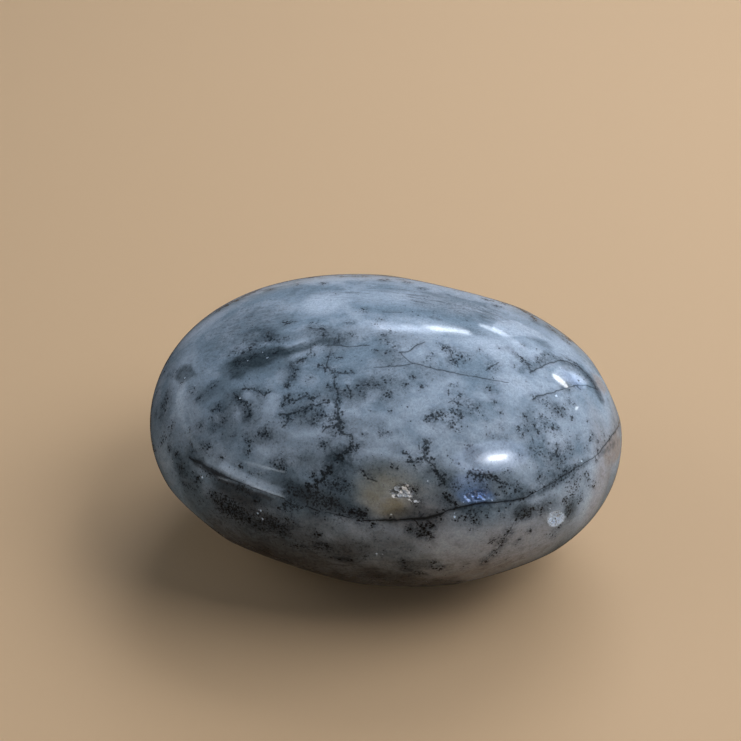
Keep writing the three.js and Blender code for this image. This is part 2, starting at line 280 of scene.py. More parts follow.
# Colonies of dark grains: along, girth, half length, half height, fullness and tilt.
COLONIES = [
    # over the smoky wedge
    (-17.6, 72.4, 0.4, 0.3, 9), (-16.5, 72.2, 0.3, 0.25, 7), (-15.8, 73.7, 0.4, 0.35, 12),
    (-15.6, 75.5, 0.35, 0.3, 8), (-14, 80.3, 0.35, 0.25, 6), (-13.8, 79, 0.4, 0.35, 10),
    (-13.7, 77.2, 0.5, 0.4, 14), (-12.7, 77, 0.5, 0.35, 12), (-11.7, 77.4, 0.5, 0.25, 7),
    (-18.2, 70.8, 0.3, 0.3, 3), (-16.6, 67.6, 1, 0.8, 14), (-14.5, 70, 1.5, 0.5, 10, 8),
    (-12.4, 71.3, 1.2, 0.4, 7, 8), (-12.4, 85.4, 0.6, 0.3, 6),
    # the left end
    (-24.2, 59, 0.5, 0.4, 6), (-19.4, 57, 0.6, 0.35, 7), (-22.4, 55.2, 0.4, 0.4, 5),
    (-20.9, 52, 0.4, 0.7, 8, 20), (-18, 49, 0.3, 0.3, 4), (-18.6, 47, 0.5, 0.3, 5),
    (-17.6, 47.6, 0.2, 0.3, 3), (-16.8, 44, 0.25, 0.6, 4), (-18.6, 44, 0.3, 0.3, 3),
    (-13.2, 37.6, 0.4, 0.5, 7, -40), (-12.2, 38, 0.25, 0.2, 3), (-12.9, 35.5, 0.3, 0.4, 3),
    (-12.9, 33, 0.4, 0.6, 7), (-18, 39.5, 0.3, 0.4, 4), (-20, 39, 0.2, 0.6, 4), (-21.3, 36, 0.3, 0.3, 3),
    (-18.4, 31.4, 0.4, 0.5, 6), (-18, 29.6, 0.25, 0.4, 4), (-19, 30.6, 0.3, 0.3, 4),
    (-20.8, 30, 0.25, 0.25, 3), (-24.2, 21.4, 0.5, 0.4, 7, -30), (-23, 21, 0.5, 0.5, 8),
    (-16.2, 28, 0.35, 0.25, 4), (-13.6, 27, 0.3, 0.45, 6), (-12.3, 25, 0.25, 0.2, 3),
    (-11.2, 25.4, 0.3, 0.2, 3), (-8.8, 30.8, 0.5, 0.8, 14), (-9.4, 29.6, 0.6, 0.3, 6, -5),
    (-8.2, 29, 0.3, 0.3, 4), (-11, 41, 0.5, 0.7, 12, -20), (-11.7, 40.2, 0.4, 0.25, 4),
    (-26.2, 45, 0.6, 1, 6), (-26.4, 53, 0.4, 0.7, 5), (-24.5, 33, 0.9, 1.2, 8), (-25.4, 26, 0.9, 1, 7),
    # under the comb-like arms
    (-9.6, 51.3, 0.3, 0.3, 4), (-5.2, 49.4, 0.4, 0.3, 7), (-4.4, 49.2, 0.35, 0.3, 6),
    (-5.4, 47, 0.35, 0.3, 6), (-4.9, 47.4, 0.2, 0.2, 3), (-4.8, 51.6, 0.2, 0.2, 2),
    (-6.3, 54.9, 0.3, 0.3, 4), (-4.3, 59, 0.3, 0.25, 3), (-2.7, 58, 0.3, 0.3, 4),
    (-2.7, 43.5, 0.3, 0.2, 4), (-3.8, 39.2, 0.4, 0.4, 4),
    # the lower left
    (-13.4, 18.4, 0.7, 0.3, 5), (-11.3, 14, 0.8, 0.5, 6), (-17, 10, 0.9, 0.7, 9),
    (-15.4, 5.6, 1.3, 0.9, 16, -12), (-13.6, 6, 0.8, 0.7, 9), (-12.2, 3, 0.9, 0.6, 9),
    (-10.9, 1.4, 1.2, 0.7, 12, -10), (-7.6, 14, 1.1, 0.6, 12), (-6.6, 8.4, 0.9, 0.7, 8),
    (-3.8, 14, 0.25, 0.15, 3), (-2.7, 12.4, 0.25, 0.15, 3), (-8.4, 4, 2.2, 0.9, 12, -8),
    (-2.7, -0.8, 1.2, 0.5, 20, -10), (-19.5, 14, 1.2, 1, 9), (-22, 12, 1.1, 1.5, 8),
    (-6.6, 21.4, 1.2, 0.7, 16, -5), (-4.6, 27.8, 0.6, 0.4, 5), (-1.2, 26, 1.6, 0.9, 14, -8),
    # along the long crack
    (3.2, 11.6, 0.35, 0.4, 8), (-1.3, 12.8, 0.3, 0.15, 4), (0.6, 15.6, 0.7, 0.5, 12),
    (2, 15.6, 0.8, 0.6, 16), (1.6, 13, 0.5, 0.2, 6), (5.3, 33.6, 0.3, 0.2, 3), (4.6, 34.4, 0.4, 0.3, 3),
    (9.6, 12.4, 0.9, 0.6, 12), (11, 15, 0.8, 0.2, 5), (7.7, 26.4, 0.5, 0.6, 9, 10),
    (8, 21.4, 0.5, 0.5, 6), (12.3, 28.4, 0.6, 0.5, 7), (13.2, 14.6, 1, 0.6, 14),
    (14.6, 16.4, 0.9, 0.8, 16), (15, 13.2, 0.5, 0.5, 9), (16.1, 15.4, 0.25, 0.4, 5),
    (17.4, 17.4, 0.25, 0.15, 3), (18.3, 18, 0.2, 0.15, 3), (17.9, 14.8, 0.35, 0.25, 4),
    (14.4, 9.4, 0.4, 0.2, 3), (16.9, 24.6, 0.3, 0.4, 4), (15.2, 29.6, 1.2, 0.6, 9),
    (17.8, 29, 0.3, 0.25, 6), (19.2, 29, 0.35, 0.4, 6), (18.4, 24.6, 0.3, 0.2, 3),
    (20.2, 13.6, 1.1, 0.8, 34), (19.4, 11.4, 0.3, 0.3, 5), (22, 15, 0.8, 0.3, 9),
    (21.2, 3, 0.4, 0.25, 6), (20.1, -1.2, 0.2, 0.2, 3), (19.7, -3, 0.3, 0.2, 3),
    (19.4, 3.6, 0.2, 0.2, 2), (24.9, 15.6, 0.6, 0.7, 12), (25.5, 5.6, 0.4, 0.9, 14),
    (24.5, -1.6, 0.4, 0.4, 6), (24, -9, 0.4, 0.9, 10), (26.6, 12, 0.5, 0.8, 7),
    (23.4, -5, 0.5, 0.3, 5, 20), (25.5, 34.4, 0.9, 0.4, 12, 30), (23.5, 29.4, 0.8, 0.3, 12, 35),
    (21.5, 31.5, 0.5, 0.35, 9), (21.6, 33.4, 0.2, 0.3, 3), (27, 30, 0.6, 0.4, 9),
    (26.1, 29, 0.3, 0.3, 4), (27.4, 24, 0.5, 0.6, 6), (28, 19, 0.4, 0.6, 5), (7.7, 1, 0.2, 0.15, 3),
    (18, 34.2, 0.8, 0.3, 4, -10), (10.4, -8, 0.9, 0.3, 16), (10.2, -11.6, 0.25, 0.2, 3),
    (11.2, -12, 0.8, 0.4, 14), (8.6, -15, 1.3, 0.5, 18), (7, -6, 0.5, 0.3, 6), (7.2, -11, 0.4, 0.9, 12),
    (-3.4, 4.6, 0.8, 0.5, 10), (-6, -4, 2, 0.4, 12), (-0.6, -7, 2, 0.3, 9), (2.3, -4.2, 0.4, 0.3, 4),
    (21, 24.4, 0.4, 0.3, 6, 30), (22.2, 27.4, 0.5, 0.3, 8, 35), (24.2, 30.6, 0.5, 0.3, 8, 40),
    (24.6, 34, 0.4, 0.3, 5, 40), (26, 36, 0.4, 0.2, 3, 50), (20, 21.6, 0.4, 0.15, 4, 10),
    (18.6, 20.6, 0.5, 0.2, 5), (22.4, 12, 0.5, 0.4, 8), (21.4, 16, 0.9, 0.4, 10), (23, 17, 0.5, 0.3, 5),
    (25.6, 9, 0.4, 0.8, 10), (25.4, 20, 0.4, 0.5, 6), (22.6, 98, 0.6, 0.4, 8), (24, 99.6, 0.7, 0.4, 10),
    (25.6, 98, 0.6, 0.5, 8), (20.8, 93.6, 0.9, 0.3, 12), (19.2, 86.6, 0.2, 0.8, 10),
    (20, 90, 0.6, 0.6, 8), (18.2, 3.4, 0.5, 0.5, 7), (18.6, 6, 0.4, 0.5, 5), (18, -1.4, 0.4, 0.6, 7),
    (17.4, -6, 0.5, 0.6, 6), (16.4, -11, 0.5, 0.4, 5), (8.4, 79, 1.2, 0.5, 12, -20),
    (10.4, 77, 1.4, 0.6, 10, -20), (9.6, 74, 0.7, 0.5, 7), (22.4, 42, 3, 1.4, 20),
    (24, 34, 2.4, 1.4, 20, 30), (18.4, 27, 2, 0.8, 14), (25.6, 24, 1.4, 1.6, 16), (22, 56, 2.4, 1.2, 8),
    # the middle of the top
    (-0.9, 60.4, 0.4, 0.2, 4), (0.2, 61, 0.4, 0.2, 4), (1.2, 61.3, 0.4, 0.2, 4),
    (-0.6, 58.5, 0.25, 0.15, 3), (0, 56.8, 0.2, 0.15, 2), (2.8, 58.4, 0.35, 0.4, 8, -40),
    (4.4, 62.6, 0.6, 0.15, 5, 8), (2.4, 56.1, 0.2, 0.2, 3), (2.5, 62.8, 0.6, 0.2, 4),
    (5.3, 65.6, 0.5, 0.15, 4), (6.8, 62.6, 0.5, 0.12, 4), (3.6, 53, 0.2, 0.1, 2),
    (2.3, 76, 0.5, 0.4, 7, -10), (1.3, 77.4, 0.3, 0.3, 5), (0.6, 78.4, 0.35, 0.3, 5),
    (0.6, 80.6, 0.3, 0.25, 5), (1.4, 82.8, 0.2, 0.15, 2), (0, 73.6, 0.25, 0.3, 4),
    (1.4, 73.8, 0.3, 0.15, 3), (-0.8, 85.4, 0.4, 0.15, 3), (-0.5, 88, 0.5, 0.2, 4),
    (-3, 92, 0.35, 0.25, 6), (-4, 85, 0.25, 0.3, 5), (-8.6, 84.6, 0.35, 0.3, 6),
    (-7, 81.7, 0.4, 0.25, 5), (-6.8, 78.6, 0.25, 0.25, 4), (-4.5, 76.6, 0.15, 0.3, 3),
    (-3.4, 79.4, 0.3, 0.2, 3), (-4.2, 69.6, 0.5, 0.2, 5), (-7.4, 70.6, 0.3, 0.4, 4),
    (-8.7, 68.1, 0.4, 0.4, 10), (-9.8, 66, 0.35, 0.3, 6), (-9, 63.7, 0.3, 0.35, 7),
    (-9.1, 61.4, 0.9, 0.25, 8), (-9.8, 58.4, 0.35, 0.25, 7), (-6.9, 61.5, 0.3, 0.1, 3),
    (-6.2, 66.4, 0.4, 0.3, 5), (-5.5, 65.6, 0.3, 0.2, 4), (3, 45.2, 0.5, 0.2, 5, 5),
    (0.8, 43.9, 0.25, 0.15, 3),
    # right of the middle
    (8.4, 52.4, 0.4, 0.5, 9, 10), (9.4, 53.8, 0.6, 0.4, 8), (10.9, 54.8, 0.5, 0.3, 8),
    (11.7, 53.8, 0.3, 0.3, 5, -30), (10.8, 51.6, 0.3, 0.25, 4), (10.9, 50.2, 0.4, 0.15, 7),
    (11.6, 48.6, 0.4, 0.2, 4), (12.8, 57.7, 0.4, 0.4, 9), (13.5, 58.2, 0.3, 0.3, 6),
    (12.2, 59.6, 0.25, 0.3, 5), (12.7, 55.6, 0.35, 0.2, 4), (15.2, 61.2, 0.35, 0.25, 6),
    (16.2, 57.3, 0.25, 0.15, 4), (14.8, 53.4, 0.25, 0.15, 3), (16.4, 52, 0.3, 0.2, 4),
    (12.7, 50, 0.2, 0.15, 2), (15.4, 48.4, 0.6, 0.2, 6, -8), (17.2, 47.6, 0.4, 0.15, 4),
    (14.6, 66, 0.9, 0.25, 7), (15.3, 66.6, 0.3, 0.15, 3), (10.4, 64.8, 0.3, 0.2, 4),
    (11.2, 61, 0.2, 0.2, 3), (11, 74, 0.2, 0.2, 2), (12.3, 81.6, 0.25, 0.2, 3),
    (11.3, 78.2, 0.3, 0.15, 3), (16.7, 79, 0.2, 0.2, 4), (14.8, 84.6, 0.3, 0.15, 3),
    (17.2, 91.6, 0.25, 0.15, 3), (17.6, 83, 0.6, 0.4, 5, -15), (18.6, 80.6, 0.4, 0.7, 8),
    (6.9, 75.4, 0.5, 0.12, 4), (6.6, 73, 0.25, 0.12, 2), (19.3, 53.2, 0.4, 0.4, 12),
    (20.2, 54.2, 0.35, 0.3, 12), (18.4, 52.3, 0.25, 0.4, 7), (19.1, 50, 0.35, 0.3, 9),
    (20.6, 52, 0.15, 0.25, 4), (21, 57, 0.15, 0.25, 4), (21.4, 55.4, 0.2, 0.3, 6),
    (22.7, 56, 0.15, 0.15, 3), (20.7, 67, 0.25, 0.3, 5), (21.3, 66.4, 0.2, 0.2, 3),
    (19.7, 67, 0.25, 0.4, 6), (21.3, 49, 0.25, 0.3, 4), (22, 47.4, 0.2, 0.2, 2),
    (20.2, 44.4, 0.4, 0.25, 5), (19.1, 41, 0.2, 0.5, 4), (23.4, 42, 0.3, 0.4, 6),
    (24.3, 49.4, 0.2, 0.2, 4), (25.4, 52.4, 0.2, 0.15, 3), (26.8, 54, 0.3, 0.3, 4),
    (27.8, 54.4, 0.2, 0.2, 3), (27, 58, 0.2, 0.5, 5), (26.5, 48.6, 0.3, 0.4, 5), (26.3, 65, 0.2, 0.2, 3),
    (24.3, 63, 0.2, 0.4, 6), (23.2, 67, 0.3, 0.5, 7), (22.6, 64.6, 0.9, 0.5, 10),
    (23.7, 72, 0.4, 0.3, 6), (24.3, 71.6, 0.2, 0.3, 3), (28.4, 62, 0.2, 0.3, 2), (24.6, 45, 0.6, 0.6, 6),
    (13, 43.6, 0.4, 0.25, 4), (12.2, 37, 0.4, 0.3, 3),
]

# White drusy grains that reach the skin: along, girth and half size. The first three, over the smoky wedge,
# also paint a small glint there.
DRUSY_AND_GLINTS = [
    (-13.8, 71.6, 0.18), (-13.2, 69, 0.12), (-12.8, 69.2, 0.1), (-17.8, 67.4, 0.1), (-16.3, 67.8, 0.12),
    (-15.5, 68, 0.1), (-16, 69.4, 0.1), (-24, 61.4, 0.16), (-15.2, 52.7, 0.14), (-22, 57.6, 0.14),
    (-10.7, 10.3, 0.2), (-11, 8.7, 0.16), (-10.4, 6.5, 0.16), (-18.7, 16.4, 0.2), (12.6, 17.4, 0.16),
    (12.6, 15.8, 0.2), (3.8, -2.2, 0.2), (3.9, -3.5, 0.16), (4.4, -2.2, 0.12), (9, 29.8, 0.14),
    (5.3, 16.3, 0.14), (26.2, 39.6, 0.16), (22.1, 71.8, 0.2), (9.3, -24, 0.16),
    # in the pocket of the cream patch
    (5.3, 23.4, 0.24), (5.8, 24, 0.2), (6.2, 25, 0.24), (6.6, 26.3, 0.3), (6.8, 27.6, 0.22),
    (7, 25, 0.26), (7.3, 23.8, 0.24), (7.1, 22.4, 0.2), (7.8, 22, 0.22), (8.3, 22, 0.18),
    (6.2, 27.2, 0.16), (7.9, 24.6, 0.14), (8.6, 23.4, 0.12), (6.5, 23.8, 0.14),
    # in the blue pocket
    (13.2, 25.4, 0.16), (13.5, 24, 0.22), (14, 22.6, 0.24), (14.4, 24.2, 0.2), (15, 25.4, 0.2),
    (15.2, 23.8, 0.26), (15.7, 22.8, 0.2), (15.9, 24.8, 0.16), (16.6, 22.4, 0.16), (14.8, 21.8, 0.16),
    (14.2, 26.2, 0.12), (13.4, 22, 0.12), (13.9, 25.2, 0.12), (14.6, 23.2, 0.14), (15.4, 25, 0.12),
    (16.2, 23.6, 0.14), (13.6, 23, 0.12), (15.6, 21.8, 0.1),
    # beside the white pocket
    (25.1, 2, 0.12), (23.2, 13.4, 0.12), (22.9, 14.6, 0.1),
]

# Patches that have an edge: strength, width that the edge fades over, and outline in
# (along, girth), by kind.
PATCHES = {
    "smoke": [
        # the smoky wedge, with a darker upper half
        (0.75, 0.8, [(-18.3, 67.3), (-17.7, 64), (-17.2, 60.5), (-15.6, 60.3), (-15.4, 63), (-14.6, 65),
            (-12.9, 65.7), (-11.9, 68.3), (-10, 70), (-8, 72.5), (-7, 75.5), (-9, 75), (-11, 73.8),
            (-12.6, 73.3), (-13.8, 72.3), (-15.2, 71), (-17, 69.8)]),
        (0.6, 0.6, [(-18.1, 67.4), (-17.4, 65.3), (-15.4, 65), (-13, 66.6), (-12, 69.4), (-10.4, 71),
            (-11.2, 73.2), (-13, 71.8), (-15.5, 70.6), (-17, 69.4)]),
        # the round spot
        (0.7, 0.7, [(-26, 62.6), (-25.8, 66.5), (-24.9, 69.3), (-23.7, 69), (-23.2, 66), (-22, 63),
            (-23, 61), (-24.8, 59.6)]),
        # beside the pale patch
        (0.5, 0.8, [(-16.6, 55), (-15.3, 56.6), (-14.9, 53.5), (-14.2, 51.2), (-13.4, 48.6),
            (-13.1, 45.5), (-13.9, 43), (-14.8, 46), (-15.2, 49), (-16, 51.5)]),
        # streaked grey towards the far side
        (0.3, 2.4, [(3, 97), (2, 104), (4, 110), (9, 112), (13, 109), (14, 104.5), (13, 100), (12.6, 97),
            (10, 95.5), (6, 95)]),
        # inside the arch
        (0.3, 0.6, [(18.8, 79.5), (19.5, 82.4), (20.4, 86.8), (21.6, 92.6), (20.7, 93.4), (19.9, 93.9),
            (19.3, 87.6), (18.9, 82.8)]),
    ],
    "umber_and_painted_shade": [
        # the dark lower left and underside, with a clean edge only along its top: partly the opal's own
        # dark ground, partly painted shade and a painted reflection of the dark board
        (0.68, 3.5, [(-18, 8), (-17, 16), (-14, 18), (-10, 15), (-6, 10), (-3.5, 6), (0, 0), (2, -9),
            (6, -14), (13, -22), (14, -50), (-10, -60), (-18, -40), (-19, -10)]),
        # painted shade: the dark edge under the pale reflex of the lower left
        (0.6, 0.4, [(-20.4, 22.6), (-18.7, 21.4), (-16.8, 20.6), (-15, 19.3), (-12, 18.3), (-9, 17.2),
            (-9.6, 15.6), (-13, 16.4), (-17, 18.4), (-20, 20.8)]),
    ],
    "milk_and_painted_reflection": [
        (0.5, 0.4, [(-15, 53.5), (-14.2, 55.4), (-13, 55.9), (-12.3, 54.3), (-11.4, 55.6), (-10.2, 55),
            (-9.8, 51), (-10.3, 46.5), (-11.6, 45), (-13.2, 46.2), (-13.5, 48.6), (-14.3, 51.2)]),
        # a pale polygon with a crisp edge over the milky opal: a painted reflection of the window and its
        # surroundings
        (0.8, 0.3, [(13.5, 92), (13.1, 97), (13.7, 101.5), (14.8, 105), (18, 107), (20, 104), (18.5, 100),
            (16.5, 97), (15.5, 93)]),
        (0.8, 0.5, [(21.2, 84), (21.9, 90), (22.8, 94.4), (24.4, 96.4), (25.7, 95), (25.6, 90.6),
            (24.6, 87), (23.3, 81.6), (22.3, 78), (21.3, 79)]),
        (0.5, 1.2, [(10.6, -9), (10.6, 4), (11.5, 10), (14, 11), (18, 9), (18, 3), (17, -4), (15, -10)]),
        (0.4, 1.2, [(-4.4, 11), (-1, 11.2), (3, 9.5), (7, 10), (7, 5), (3, 2), (-1, 2), (-4, 6)]),
    ],
    "white": [
        (1, 0.16, [(23.1, 10.8), (23.6, 11.4), (24.3, 10.2), (24.8, 7), (25.2, 4), (25.1, 1),
            (24.6, -0.4), (23.9, -0.6), (23.4, 1.6), (23.2, 5)]),
    ],
    "warm_grey_and_painted_board_reflection": [
        (0.7, 0.6, [(25.6, 104), (26.9, 112), (27.9, 110), (27.7, 96), (26.9, 95)]),
        # along the right end, between the long crack and the rim: a painted reflection of the pale board
        (0.8, 0.5, [(29, 56), (29.5, 67), (30, 82), (30.7, 88), (30.9, 60), (30.3, 34), (29.5, 34),
            (28.9, 44)]),
    ],
}

# Streaks out of focus: strength, half width, and route in (along, girth), by kind.
STREAKS = {
    "deep": [
        # a painted dark edge under the pale reflex of the lower left
        (0.6, 0.6, [(-20.8, 23), (-19.2, 22.6), (-17.7, 21.6), (-16, 21)]),
        (0.5, 1, [(0.6, 40.3), (-0.9, 38.3), (-1.8, 35.5), (-2.6, 33), (-3, 29.5), (-3.8, 26), (-5, 23)]),
        (0.95, 0.5, [(4.3, 13.8), (6.6, 14.1), (9.2, 15), (10.9, 16.8), (12.5, 19), (15, 20.6),
            (19.6, 21.6)]),
        (0.5, 0.4, [(18.7, 78.7), (20.4, 86.6), (21.7, 92.8)]),
        (0.95, 1, [(22, 95), (23.3, 98), (24.6, 99), (25.9, 98), (26.8, 94.5), (27.4, 90)]),
        (0.7, 0.7, [(17.6, 78), (18.2, 81.5), (17, 84), (15.6, 86.5)]),
        (0.7, 0.4, [(18.9, 82.8), (19.3, 87.6), (19.9, 93.9), (20.7, 93.2), (21.7, 92.8)]),
        (0.5, 0.6, [(18.9, 78.5), (18.2, 81.5), (17, 84), (16.2, 85.5)]),
        (0.8, 0.7, [(28.2, 45), (28.9, 49), (29.4, 53), (29.9, 60)]),
        (0.9, 0.45, [(2.9, 45), (3.7, 45.2), (4.8, 46)]),
        (0.7, 0.35, [(0.4, 43.8), (1.2, 44)]),
        (0.4, 0.5, [(23, 48), (23.1, 43.5), (23.5, 40)]),
        (0.45, 0.7, [(19.2, 9), (18.6, 3), (17.6, -4.5), (16, -12)]),
        (0.7, 0.35, [(5.6, 92.6), (6.2, 92.2), (7, 92)]),
        (0.5, 0.5, [(-17, 97), (-17.5, 91)]),
        (0.6, 0.7, [(-13.4, 104), (-13, 108)]),
        (0.5, 0.5, [(-5, 112), (-4.6, 116)]),
    ],
    "smoke": [
        (0.35, 0.8, [(-10.4, 72), (-8, 75.4), (-6, 76.6)]),
        (0.4, 1.1, [(22.4, 92), (24, 95), (26, 95), (27.6, 90)]),
        (0.4, 0.7, [(22, 24), (23.4, 28), (25, 33), (27, 40)]),
    ],
}

